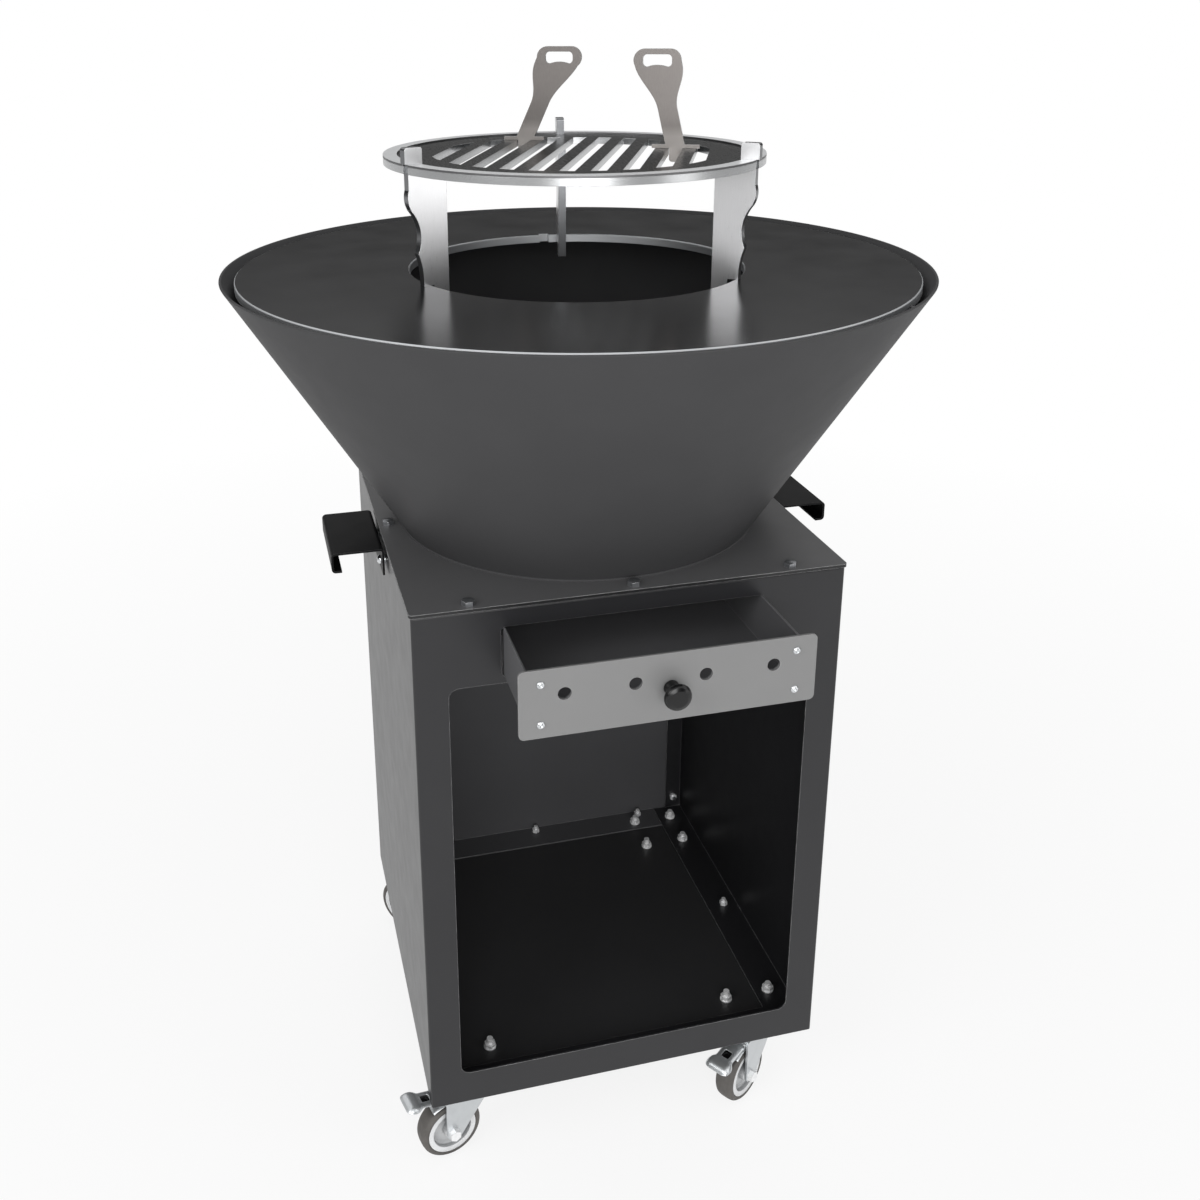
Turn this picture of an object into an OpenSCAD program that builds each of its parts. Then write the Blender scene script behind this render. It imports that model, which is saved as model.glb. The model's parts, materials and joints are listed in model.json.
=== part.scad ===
// Fire pit grill. A square sheet steel cabinet on four swivel casters holds an ash drawer.
// A cone shaped fire bowl stands on it and carries a round hot plate with a middle hole.
// A slotted grate on three legs stands over the hole, and two lifters stand in its slots.
// Millimetres. The floor is z = 0, the bowl's axis is x = y = 0, the front faces -Y, up is +Z.

/* [Cabinet] */
// Outer width of the cabinet
cab_w = 500; // [490:1:520]
// Outer depth of the cabinet
cab_d = 500; // [490:1:520]
// Height of the cabinet walls
cab_h = 663; // [600:1:760]
// Thickness of the cabinet sheet
sheet = 2; // [1.5:0.1:3]
// Outer radius of the cabinet's bent edges
cab_bend_r = 3; // [3:0.1:5]
// Width of the flanges turned in at the bottom
floor_flange_w = 45; // [44:0.5:48]
// Width of the flanges turned in at the top
top_flange_w = 30; // [24:0.5:36]
// Width of the upright flanges behind the back corners
rear_flange_w = 25; // [22:0.5:30]
// Gap left at the edges of the loose panels
panel_gap = 0.5; // [0.2:0.1:1]
// Distance of the store opening from the cabinet's sides
open_side = 38; // [32:0.5:100]
// Height of the sheet left between the store opening and the drawer slot
open_gap = 7.8; // [4:0.1:200]
// Height of the store opening's lower edge over the cabinet's lower edge
open_sill = 43; // [30:0.5:60]
// Corner radius of the store opening
open_r = 12; // [4:0.5:30]
// Corner radius of the drawer slot
slot_r = 6; // [2:0.5:12]
// Gap between the drawer box and the slot, to each side
slot_side_gap = 3; // [2:0.5:4]
// Gap between the drawer box and the slot, above and below
slot_end_gap = 1.2; // [1.2:0.1:3]
// Distance of the outer back flange bolts from the cabinet's sides
back_bolt_side = 78; // [60:1:100]
// Distance of the panel bolts' axes from the inner face of the wall
floor_bolt_in = 10; // [8:0.5:12]
// Height of the lowest back panel bolt over the cabinet's lower edge
rear_bolt_low = 24; // [20:1:60]
// Distance of the top back panel bolt below the cabinet's top edge
rear_bolt_top = 24; // [20:1:60]

/* [Drawer] */
// Outer width of the drawer box
box_w = 300; // [240:1:310]
// Gap between the shut drawer and the back panel
box_behind = 58; // [20:1:140]
// Height of the drawer box
box_h = 58; // [58:0.5:66]
// Thickness of the drawer box sheet
box_t = 2; // [1:0.1:2.5]
// Distance of the drawer's top edge below the cabinet's top
box_drop = 24; // [12:0.5:30]
// How far the front plate stands out beside the drawer box
front_side = 11; // [9:0.5:15]
// How far the front plate reaches below the drawer box
front_below = 9.1; // [3:0.1:12]
// Thickness of the drawer's front plate
front_t = 3; // [2:0.1:5]
// Corner radius of the drawer's front plate
front_r = 6; // [2:0.5:12]
// How far the front plate stands over the drawer's top edge
front_rise = 10.4; // [6:0.1:13]
// How far the drawer stands open
drawer_out = 113; // [0.5:0.5:300]
// Diameter of the air holes
vent_d = 14.5; // [8:0.5:16]
// Distance of the inner air holes from the middle
vent_x_in = 38; // [30:1:60]
// Distance of the outer air holes from the drawer box's sides
vent_side = 37; // [26:1:50]
// Distance of the air holes below the drawer box's top edge
vent_down = 19.4; // [10:0.2:24]
// Distance of the front's screws from the drawer box's sides
front_screw_side = 12; // [8:0.5:16]
// Distance of the front's screws from the drawer box's top and bottom edges
front_screw_end = 6.2; // [6.2:0.1:12]
// Diameter of the front's screws
small_d = 5; // [4:0.1:5]
// Diameter of the front's screw heads
small_head_d = 9; // [8:0.1:10]
// Height of the front's screw heads
small_head_h = 2.6; // [2:0.1:3.5]
// Width across flats of the small nuts
small_af = 8; // [7:0.1:8]
// Thickness of the small nuts
small_nut_h = 4; // [3:0.1:5]
// Diameter of the knob's head
knob_d = 30.4; // [24:0.2:36]
// Diameter of the knob's neck
knob_neck_d = 13; // [10:0.5:18]
// Length of the knob from the front plate to its crown
knob_l = 26; // [20:0.5:32]
// Thickness of the knob's head at its edge
knob_head_t = 4; // [3:0.5:6]
// Diameter of the knob's foot
knob_foot_d = 17; // [14:0.5:22]
// Thickness of the knob's foot
knob_foot_t = 3; // [2:0.5:5]

/* [Drawer rails] */
// Thickness of the rail sheet
rail_t = 2; // [1.5:0.1:2.5]
// Width of the ledge under the drawer
ledge_w = 18; // [12:0.5:24]
// Gap between the drawer and the rail's upright
rail_side_gap = 1; // [0.5:0.1:1.5]
// Height of the rail's upright
rail_h = 48; // [30:1:60]
// Width of the tabs that meet the panels
rail_tab_w = 20; // [12:0.5:30]
// Gap between a sliding piece and what carries it
slide_gap = 0.1; // [0.05:0.01:0.2]

/* [Base plate] */
// How far the base plate stands out over the cabinet
base_over = 2; // [0:0.5:3]
// Thickness of the base plate
base_t = 4; // [3:0.5:8]
// Corner radius of the base plate
base_r = 5; // [2:0.5:12]
// Distance of the bolts' axes from the cabinet's outer faces
base_bolt_in = 10; // [10:0.1:10.5]
// Distance of the outer bolts of a row from the cabinet's sides
base_bolt_side = 64; // [50:1:100]
// Diameter of the ash hole in the middle
ash_d = 100; // [60:1:180]

/* [Bowl] */
// Distance of the bowl's foot in from the cabinet's nearest outer faces
bowl_foot_in = 27.4; // [24:0.1:50]
// Distance from the hot plate's edge out to the bowl's rim
rim_gap = 17.4; // [15:0.1:30]
// Height of the bowl
bowl_h = 313.2; // [280:0.1:340]
// Thickness of the bowl sheet
bowl_t = 3; // [2:0.1:5]
// Radius of the weld bead at the bowl's foot
bead_r = 4.4; // [3:0.1:6]
// Number of lugs that carry the hot plate
lug_n = 4; // [3:1:8]
// Thickness of a lug
lug_t = 6; // [4:0.5:10]
// Reach of a lug's seat in from the hot plate's edge
lug_seat = 16; // [8:0.5:24]
// Height of a lug at its inner edge
lug_h = 14; // [8:0.5:24]
// Height of a lug at the bowl's wall, measured down from its seat
lug_wall_h = 42; // [30:1:60]
// Height of a lug's stop beside the hot plate
lug_stop = 5; // [3:0.5:8]
// Gap between the hot plate's edge and the stops
lug_gap = 1.5; // [1:0.1:3]

/* [Hot plate] */
// Diameter of the hot plate
hot_d = 800; // [760:1:840]
// Thickness of the hot plate
hot_t = 10; // [6:0.5:12]
// Diameter of the hot plate's middle hole
hot_hole_d = 398; // [380:1:410]
// Bevel at the hot plate's top edges
hot_bevel = 1.2; // [0.5:0.1:2]
// Distance of the hot plate's top below the bowl's rim
hot_drop = 2.4; // [0:0.1:6]
// Width of the notch in the middle hole
notch_w = 12; // [8:0.5:16]
// Depth of the notch in the middle hole
notch_l = 8; // [4:0.5:12]
// Direction of the notch, in degrees from +X
notch_az = 87; // [84:0.5:90]

/* [Grate] */
// How far the grate's edge reaches out over the edge of the hot plate's hole
grate_over = 22.5; // [20:0.5:26]
// Thickness of the grate's plate
grate_t = 8; // [6:0.5:10]
// Width of the raised ring at the grate's edge
ring_w = 16; // [12:0.5:17]
// Thickness of the raised ring
ring_t = 2.5; // [1.5:0.1:4]
// Number of slots
slot_n = 10; // [8:2:10]
// Distance from slot to slot
slot_pitch = 32.7; // [28:0.1:33]
// Width of a slot
slot_w = 16.6; // [12:0.1:18]
// Width of the plate left solid outside the slots
slot_rim = 56; // [50:0.5:62]
// Direction of the slots, in degrees from +X
slot_az = 66.3; // [60:0.1:72]
// Shift of the grate to the right of the bowl's axis
grate_x = -2.5; // [-4:0.5:3]
// Shift of the grate to the back of the bowl's axis
grate_y = 1.5; // [-3:0.5:3]

/* [Grate legs] */
// Thickness of a leg
leg_t = 10; // [6:0.5:12]
// Direction of the first leg, in degrees from +X
leg_az = 199.7; // [196:0.1:203]
// Height of the grate's underside over the hot plate
leg_h = 123.7; // [123:0.1:130]
// Width of the tongues that hang in the hot plate's hole
leg_tongue_w = 19; // [12:0.5:20]
// Gap between the tongues and the hole's edge with the grate in the middle
leg_gap = 5.5; // [5:0.1:8]
// Length of the tongues below the hot plate's top
tongue_l = 25; // [15:1:40]
// Distance of the legs' feet in from the grate's edge
foot_in = 15.5; // [14:0.1:17]
// Radius of the sweep between the foot and the cusp
sweep_r = 88; // [80:1:100]
// Height of the lowest point of that sweep
sweep_h = 5; // [0:0.5:8]
// Distance of the legs' waist in from the grate's edge
waist_in = 13.7; // [12:0.1:16]
// Radius of the waist's sweep
waist_sweep = 44.2; // [40:0.2:50]
// How far the legs' belly stands out over the grate's edge
belly_over = 0.8; // [0:0.1:2]
// Radius of the belly's curve
belly_r = 26.8; // [22:0.1:30]
// Distance of the legs in from the grate's edge just under the grate
brow_in = 0.5; // [0.1:0.1:2]
// Distance of the neck in the grate's notch in from the grate's edge
neck_in = 2.9; // [2.5:0.1:7]
// Width of the tab over the grate
tab_w = 21.2; // [19:0.1:24]
// How far the tab stands out over the grate's edge
tab_over = 3.1; // [0.5:0.1:4]
// Height of the tab over the raised ring
tab_up = 18; // [10:0.5:24]
// Radius of the tab's upper corners
tab_r = 3; // [1:0.5:5]
// Radius of the tab's lower outer corner
tab_foot_r = 1; // [0.5:0.1:2]
// Gap round a leg's neck in the grate's notch
neck_gap = 0.2; // [0.1:0.05:0.5]

/* [Lifters] */
// Thickness of a lifter
tool_t = 4; // [3:0.5:6]
// Height of a lifter over its guard
tool_h = 114; // [104:1:130]
// Width of a lifter's shaft
shaft_w = 23; // [18:0.5:26]
// Height of the straight shaft
shaft_h = 46; // [36:1:54]
// Distance below the lifter's top where the head has its full width
flare_down = 18; // [16:0.5:24]
// Width of the head at its widest
head_w = 56; // [50:0.5:64]
// Corner radius of the head's top
head_r = 13; // [8:0.5:15]
// Height of the guard
guard_h = 4.5; // [3:0.5:6]
// Width of the left lifter's guard
guard_w_left = 51; // [40:1:56]
// Width of the right lifter's guard
guard_w_right = 57; // [40:1:60]
// Gap between a lifter's tongue and the slot, to each side
tongue_gap = 0.6; // [0.3:0.1:2]
// Length of the tongue under the guard
tongue_down = 16; // [10:0.5:24]
// Corner radius of the tongue's end
tongue_end_r = 3.8; // [1:0.1:5]
// Distance of the opener hole from the head's sides
opener_side = 11; // [9:0.5:14]
// Height of the opener hole
opener_h = 14; // [10:0.5:15]
// Corner radius of the opener hole
opener_r = 5; // [3:0.5:5]
// Height of the hump at the opener hole's lower edge
opener_hump = 2; // [0.5:0.1:4]
// Width of metal over the opener hole
opener_brow = 6.4; // [5:0.1:9]
// Sideways lean of the left lifter at its top
lean_left = 51; // [20:1:54]
// Sideways lean of the right lifter at its top
lean_right = 27; // [20:1:54]
// Distance of the left lifter from the back end of its slot
tool_left_end = 18.9; // [14:0.1:60]
// Distance of the right lifter from the back end of its slot
tool_right_end = 64.5; // [40:0.1:120]
// Number of the slot that holds the left lifter, from the left
tool_left_n = 3; // [3:1:4]
// Number of the slot that holds the right lifter, from the left
tool_right_n = 9; // [8:1:9]

/* [Handles] */
// Length of a handle along the cabinet's side
handle_l = 125; // [100:1:160]
// Reach of a handle out from its flange
handle_reach = 62.5; // [55:0.5:75]
// Thickness of the handle sheet
handle_t = 2.5; // [2:0.1:3]
// Height of the handle's outer wall
handle_drop = 25; // [20:0.5:35]
// Length of the lip turned in under the outer wall
handle_lip = 12; // [9:0.5:16]
// Outer radius of the handle's bends
handle_bend_r = 5; // [4:0.1:6]
// Height of the handle's flange
handle_flange_h = 34; // [30:0.5:45]
// Distance of the handle's top below the cabinet's top
handle_below = 1; // [0.5:0.1:4]
// Distance of the handle's screws from its ends
handle_screw_end = 22.5; // [16:0.5:40]
// Distance of the handle's screws below its top
handle_screw_down = 23; // [19:0.5:26]
// Diameter of the spacers behind the handle's flange
spacer_d = 14; // [12:0.5:16]
// Thickness of the spacers behind the handle's flange
spacer_t = 3.5; // [2.5:0.1:6]

/* [Fasteners] */
// Diameter of the large bolts
bolt_d = 8; // [6:0.5:8]
// Width across flats of the large hexagons
bolt_af = 13; // [11:0.5:13]
// Height of the large bolt heads
bolt_head_h = 5.3; // [4:0.1:6]
// Thickness of the large nuts
nut_h = 6.5; // [5:0.1:8]
// Diameter of the large nuts' washer faces
nut_face_d = 16; // [15:0.1:16]
// Thickness of the large nuts' washer faces
nut_face_t = 1.5; // [1:0.1:2]
// Length of the threads beyond the nuts
thread_out = 5; // [1:0.5:8]
// Diameter of the middle size bolts
mid_d = 6; // [5:0.5:6]
// Width across flats of the middle size hexagons
mid_af = 10; // [9:0.5:10]
// Height of the middle size heads
mid_head_h = 4; // [3:0.1:5]
// Thickness of the middle size nuts
mid_nut_h = 5; // [4:0.1:6]
// Diameter of the handle screws' round heads
mid_head_d = 11; // [10:0.5:12]
// Gap round a bolt in its hole
hole_gap = 0.4; // [0.2:0.05:0.6]
// Gap between a thread and its nut
thread_gap = 0.05; // [0.02:0.01:0.1]

/* [Casters] */
// Gap between the wheel and the underside of the fork's crown
crown_gap = 14.9; // [13.5:0.1:20]
// Distance of the swivel axes from the cabinet's sides
caster_side_in = 58; // [56:0.5:68]
// Distance of the front swivel axes from the cabinet's front
caster_front_in = 45; // [44:0.5:60]
// Distance of the back swivel axes from the cabinet's back
caster_back_in = 60; // [58:0.5:68]
// Side of the square top plate
caster_plate_w = 80; // [78:0.5:82]
// Corner radius of the top plate
caster_plate_r = 6; // [3:0.5:10]
// Thickness of the top plate
caster_plate_t = 3; // [2.5:0.1:4]
// Side of the square bolt pattern
caster_pattern = 60; // [58:0.5:60]
// Diameter of the ball race housing
race_d = 46; // [40:0.5:50]
// Height of the ball race housing
race_h = 7; // [6.5:0.1:8]
// Diameter of the kingpin
king_d = 12; // [8:0.5:14]
// Diameter of the kingpin's head
king_head_d = 20; // [16:0.5:24]
// Thickness of the kingpin's head
king_head_t = 3.5; // [2:0.1:4]
// Distance from the swivel axis to the axle
trail = 34; // [30:0.5:36]
// Diameter of the wheel
wheel_d = 80; // [76:0.5:80]
// Width of the tyre
tyre_w = 26; // [20:0.5:28]
// Thickness of the tyre
tyre_t = 8; // [6:0.5:9]
// Radius of the tyre's shoulders
tyre_r = 5; // [3:0.5:6]
// How far the wheel centre's rim lies in from the tyre's faces
core_in = 0.8; // [0.2:0.1:3]
// Thickness of the wheel centre's rim
core_t = 7; // [4:0.5:8]
// Thickness of the wheel centre's web
web_t = 8; // [5:0.5:10]
// Diameter of the wheel's hub
hub_d = 20; // [18:0.5:24]
// Gap between the hub and the fork, to each side
hub_gap = 0.2; // [0.1:0.05:0.5]
// Gap between the tyre and the fork, to each side
fork_side_gap = 1.5; // [1:0.1:3]
// Thickness of the fork sheet
fork_t = 3; // [2:0.1:3.5]
// Radius of the fork's crown round the kingpin
crown_r = 25; // [20:0.5:26]
// Reach of the fork behind the axle
fork_back = 9; // [8:0.5:10]
// Reach of the fork in front of the swivel axis
fork_front = 16; // [10:0.5:20]
// Height of the fork's sides at their front end
fork_front_h = 11.9; // [8:0.1:18]
// Corner radius of the fork's back ends
fork_r = 8; // [6:0.5:8]
// Corner radius of the fork's front ends
fork_front_r = 4; // [2:0.5:6]
// Diameter of the axle
axle_d = 8; // [6:0.5:8]
// Radial clearance of the turning fits
turn_gap = 0.05; // [0.02:0.01:0.1]
// Direction of the front left caster, in degrees from +X
turn_fl = 194; // [184:1:204]
// Direction of the front right caster, in degrees from +X
turn_fr = 214; // [204:1:224]
// Direction of the back left caster, in degrees from +X
turn_bl = 135; // [125:1:145]
// Direction of the back right caster, in degrees from +X
turn_br = 60; // [50:1:70]

/* [Brake pedals] */
// Distance of the pedal's pin in from the fork's back edge
pedal_pin_in = 5; // [4:0.5:7]
// Distance of the pedal's pin below the underside of the fork's crown
pedal_pin_down = 7.9; // [7:0.1:8.5]
// Diameter of the pedal's pin
pedal_pin_d = 5; // [4:0.5:5]
// Diameter of the pedal's barrel
pedal_barrel_d = 8.8; // [8:0.2:9]
// Gap between the pedal's arm and the fork, to each side
pedal_side_gap = 2.5; // [1:0.1:4]
// Thickness of the pedal sheet
pedal_t = 3; // [2:0.1:3.5]
// Length of the pedal's arm out from the pin
pedal_arm_l = 41; // [38:0.5:46]
// Length of the window in the pedal's arm
pedal_window_l = 11; // [6:0.5:12]
// Width of the window in the pedal's arm
pedal_window_w = 11; // [6:0.5:14]
// Width of the arm left between the window and the pad
pedal_window_in = 8; // [6:0.5:12]
// Width of the pedal's pad
pedal_pad_w = 34; // [28:0.5:38]
// Length of the pedal's pad
pedal_pad_l = 17; // [16:0.5:24]
// Corner radius of the pedal's pad
pedal_pad_r = 8; // [5:0.5:9]
// How far the pad's top stands over the arm's top
pedal_step = 2; // [0.5:0.1:2.5]
// Height of the pad with its turned down edge
pedal_skirt = 6.5; // [5.5:0.5:11]
// Tilt of the front left pedal, in degrees up from level
pedal_fl_tilt = 12; // [0:1:14]
// Tilt of the front right pedal, in degrees up from level
pedal_fr_tilt = -7; // [-14:1:0]

/* [Hidden] */
// overrun of every cut
over = 1;
// smoothness of round shapes
$fn = 96;
// heights of the main levels
caster_h = wheel_d + crown_gap + fork_t + slide_gap + race_h + caster_plate_t;
cab_z = caster_h;
cab_top = cab_z + cab_h;
base_top = cab_top + base_t;
rim_z = base_top + bowl_h;
bowl_rim_r = hot_d / 2 + rim_gap;
bowl_foot_r = min(cab_w, cab_d) / 2 - bowl_foot_in;
hot_top = rim_z - hot_drop;
hot_z = hot_top - hot_t;
grate_z = hot_top + leg_h;
grate_top = grate_z + grate_t;
ring_top = grate_top + ring_t;
panel_z = cab_z + sheet;
flange_z = panel_z + sheet;
// inner faces of the cabinet walls
in_x = cab_w / 2 - sheet;
in_front = -cab_d / 2 + sheet;
in_back = cab_d / 2 - sheet;
// inner face of the upright rear flanges
rear_in = in_back - sheet;
cab_bend_in = cab_bend_r - sheet;
floor_edge_x = in_x - floor_flange_w;
floor_edge_front = in_front + floor_flange_w;
floor_edge_back = in_back - floor_flange_w;
// drawer levels
box_top = cab_top - box_drop;
box_z = box_top - box_h;
ledge_z = box_z - slide_gap;
slot_z = box_z - slot_end_gap;
slot_h = box_h + slot_end_gap * 2;
slot_open_w = box_w + slot_side_gap * 2;
open_z = cab_z + open_sill;
open_h = slot_z - open_gap - open_z;
open_w = cab_w - open_side * 2;
front_w = box_w + front_side * 2;
front_h = front_rise + box_h + front_below;
front_z = box_z - front_below;
box_l = cab_d - sheet - box_behind;
front_back_y = -cab_d / 2 - drawer_out;
front_y = front_back_y - front_t;
// rail places
rail_x = box_w / 2 + rail_side_gap;
// base plate bolt places
bolt_x = cab_w / 2 - base_bolt_in;
bolt_y = cab_d / 2 - base_bolt_in;
base_bolt_x = cab_w / 2 - base_bolt_side;
base_bolts = [[-base_bolt_x, -bolt_y], [0, -bolt_y], [base_bolt_x, -bolt_y], [-bolt_x, 0], [bolt_x, 0]];
base_bolts_back = [[-base_bolt_x, bolt_y], [0, bolt_y], [base_bolt_x, bolt_y]];
// floor panel bolt places
floor_y = in_back - floor_bolt_in;
floor_x = in_x - floor_bolt_in * 2;
floor_bolts_side = [[-floor_x, 0], [floor_x, 0]];
back_bolt_x = cab_w / 2 - back_bolt_side;
floor_bolts_back = [[-back_bolt_x, floor_y], [0, floor_y], [back_bolt_x, floor_y]];
// back panel bolt places
rear_x = in_x - rear_flange_w / 2;
rear_zs = [cab_z + rear_bolt_low, cab_z + cab_h / 2, cab_top - rear_bolt_top];
// cone slope and the sheet's thickness measured level
cone_k = (bowl_rim_r - bowl_foot_r) / bowl_h;
cone_t = bowl_t * sqrt(1 + cone_k * cone_k);
// radii of the grate and its legs, from the hot plate's hole
grate_r = hot_hole_d / 2 + grate_over;
slot_end_r = grate_r - slot_rim;
tongue_r = hot_hole_d / 2 - leg_gap;
leg_in_r = tongue_r - leg_tongue_w;
foot_r = grate_r - foot_in;
waist_r = grate_r - waist_in;
belly_out = grate_r + belly_over;
brow_r = grate_r - brow_in;
neck_r = grate_r - neck_in;
tab_out_r = grate_r + tab_over;
tab_in_r = tab_out_r - tab_w;
// heights of a leg's waist and belly as shares of the leg's height
waist_share = 0.445;
belly_share = 0.792;
waist_h = leg_h * waist_share;
belly_h = leg_h * belly_share;
// lifters
tongue_w = slot_w - tongue_gap * 2;
opener_w = head_w - opener_side * 2;
flare_h = tool_h - flare_down;
// straight pieces along a lifter's curved flank
flare_n = 12;
// shares that shape the round heads: a screw's crown and the radius of the knob's crown, both of the width
screw_crown_share = 0.7;
knob_crown_share = 0.9;
// handle places
handle_z = cab_top - handle_below;
handle_x = cab_w / 2 + spacer_t;
handle_bend_in = handle_bend_r - handle_t;
handle_screw_z = handle_z - handle_screw_down;
handle_screw_y = handle_l / 2 - handle_screw_end;
// caster places: swivel axis and direction of each
caster_x = cab_w / 2 - caster_side_in;
caster_front = cab_d / 2 - caster_front_in;
caster_back = cab_d / 2 - caster_back_in;
caster_fl_at = [-caster_x, -caster_front];
caster_fr_at = [caster_x, -caster_front];
caster_bl_at = [-caster_x, caster_back];
caster_br_at = [caster_x, caster_back];
caster_ats = [caster_fl_at, caster_fr_at, caster_bl_at, caster_br_at];
plate_z = caster_h - caster_plate_t;
race_z = plate_z - race_h;
crown_top = race_z - slide_gap;
crown_z = crown_top - fork_t;
king_head_z = crown_z - slide_gap;
wheel_r = wheel_d / 2;
core_r = wheel_r - tyre_t;
core_w = tyre_w - core_in * 2;
fork_in = tyre_w + fork_side_gap * 2;
fork_out = fork_in + fork_t * 2;
fork_slope_z = crown_top - fork_front_h;
hub_w = fork_in - hub_gap * 2;
// pedal levels, measured from its pin
pedal_pin_s = trail + fork_back - pedal_pin_in;
pedal_pin_z = crown_z - pedal_pin_down;
pedal_arm_w = fork_in - pedal_side_gap * 2;
pad_top = pedal_t + pedal_step;
window_s = pedal_arm_l - pedal_window_in - pedal_window_l;

// unit vector of v
function unit(v) = v / norm(v);
// neighbour of corner i in the list p, e steps on
function nb(p, i, e) = p[(i + len(p) + e) % len(p)];
// half of the angle at corner i
function half(p, i) = acos(unit(nb(p, i, -1) - p[i]) * unit(nb(p, i, 1) - p[i])) / 2;
// where the arc at corner i meets the side towards neighbour e
function touch(p, r, i, e) = p[i] + unit(nb(p, i, e) - p[i]) * r[i] / tan(half(p, i));
// centre of the arc at corner i
function hub(p, r, i) =
  p[i] + unit(unit(nb(p, i, -1) - p[i]) + unit(nb(p, i, 1) - p[i])) * r[i] / sin(half(p, i));

// polygon p whose outward corners have the radii r
module rounded(p, r) {
  polygon([for (i = [0 : len(p) - 1]) for (e = [-1, 1]) touch(p, r, i, e)]);
  for (i = [0 : len(p) - 1]) if (r[i] > 0) translate(hub(p, r, i)) circle(r = r[i]);
}

// rectangle about the middle with rounded corners
module rrect(w, h, r) {
  square([w - r * 2, h], center = true);
  square([w, h - r * 2], center = true);
  for (x = [-1, 1], y = [-1, 1]) translate([x * (w / 2 - r), y * (h / 2 - r)]) circle(r = r);
}

// box from the corner a to the corner b
module span(a, b) translate(a) cube(b - a);

// upright bar along Y from y0 to y1 with the profile of its children drawn in x and z
module along_y(y0, y1) translate([0, y1, 0]) rotate([90, 0, 0]) linear_extrude(y1 - y0) children();

// hexagon with two flats across the X direction
module hexagon(af) rotate(30) circle(d = af / cos(30), $fn = 6);

// hexagon bolt: head from z = 0 up to head_h, shank from z = 0 down to -l
module hex_bolt(d, af, head_h, l) {
  linear_extrude(head_h) hexagon(af);
  translate([0, 0, -l]) cylinder(d = d, h = l + head_h / 2);
}

// hexagon nut from z = 0 up, with a washer face at the bottom
module hex_nut(d, af, h, face_d, face_t) difference() {
  union() {
    linear_extrude(h) hexagon(af);
    cylinder(d = face_d, h = face_t);
  }
  translate([0, 0, -over]) cylinder(d = d + thread_gap * 2, h = h + over * 2);
}

// round headed screw: head from z = 0 up, shank down to -l
module round_screw(d, head_d, head_h, l) {
  cylinder(d = head_d, h = head_h / 2);
  translate([0, 0, head_h / 2]) cylinder(d1 = head_d, d2 = head_d * screw_crown_share, h = head_h / 2);
  translate([0, 0, -l]) cylinder(d = d, h = l + head_h / 2);
}

// round holes down through everything between z0 and z1 at the listed places
module drill_z(places, d, z0, z1) for (p = places)
  translate([p[0], p[1], z0 - over]) cylinder(d = d + hole_gap * 2, h = z1 - z0 + over * 2);

// places of one caster's bolts
function pattern(c) = [for (x = [-1, 1], y = [-1, 1]) c + [x, y] * caster_pattern / 2];
caster_bolt_places = [for (c = caster_ats) for (p = pattern(c)) p];
// height of the sheet that a floor nut lies on
function on_flange(p) = abs(p[0]) > floor_edge_x || p[1] > floor_edge_back || p[1] < floor_edge_front;
function nut_seat(p) = on_flange(p) ? flange_z : panel_z;

// plan of the bent wall: front, two sides and the upright rear flanges
module wall_plan() difference() {
  translate([0, -sheet / 2]) rrect(cab_w, cab_d - sheet, cab_bend_r);
  translate([0, -sheet / 2]) rrect(cab_w - sheet * 2, cab_d - sheet * 3, cab_bend_in);
  translate([-in_x + rear_flange_w, 0]) square([(in_x - rear_flange_w) * 2, cab_d]);
}

// outside of a bent edge: what a radius takes off the corner at x = 0, y = 0
module bend_corner() difference() {
  translate([-cab_bend_r, -cab_bend_r]) square(cab_bend_r + over);
  translate([-cab_bend_r, -cab_bend_r]) circle(r = cab_bend_r);
}

// flange frame turned in by w along the front and both sides
module turned_in(w) difference() {
  translate([-in_x - sheet / 2, in_front - sheet / 2])
    square([in_x * 2 + sheet, rear_in - in_front + sheet / 2]);
  translate([-in_x + w, in_front + w]) square([(in_x - w) * 2, cab_d]);
}

// hole for a middle size bolt from the overrun before z = 0 through the thickness t
module mid_hole(t) cylinder(d = mid_d + hole_gap * 2, h = t + over * 2);

module cabinet_shell() color("#454547") difference() {
  union() {
    translate([0, 0, cab_z]) linear_extrude(cab_h) wall_plan();
    translate([0, 0, panel_z]) linear_extrude(sheet) turned_in(floor_flange_w);
    translate([0, 0, cab_top - sheet]) linear_extrude(sheet) turned_in(top_flange_w);
  }
  // store opening and drawer slot
  along_y(-cab_d / 2 - over, in_front + over) {
    translate([0, open_z + open_h / 2]) rrect(open_w, open_h, open_r);
    translate([0, slot_z + slot_h / 2]) rrect(slot_open_w, slot_h, slot_r);
  }
  // rounded top edges
  for (s = [0, 1]) mirror([s, 0, 0]) translate([cab_w / 2, 0, cab_top]) along_y(-cab_d, cab_d) bend_corner();
  translate([0, -cab_d / 2, cab_top]) rotate([0, 0, -90]) along_y(-cab_w, cab_w) bend_corner();
  // bolt holes
  drill_z(base_bolts, bolt_d, cab_top - sheet, cab_top);
  drill_z(floor_bolts_side, mid_d, panel_z, flange_z);
  drill_z(caster_bolt_places, bolt_d, panel_z, flange_z);
  for (x = [-rear_x, rear_x], z = rear_zs)
    translate([x, in_back + over, z]) rotate([90, 0, 0]) mid_hole(sheet);
  for (y = [-handle_screw_y, handle_screw_y]) translate([-cab_w, y, handle_screw_z]) rotate([0, 90, 0])
    mid_hole(cab_w * 2);
}

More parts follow.
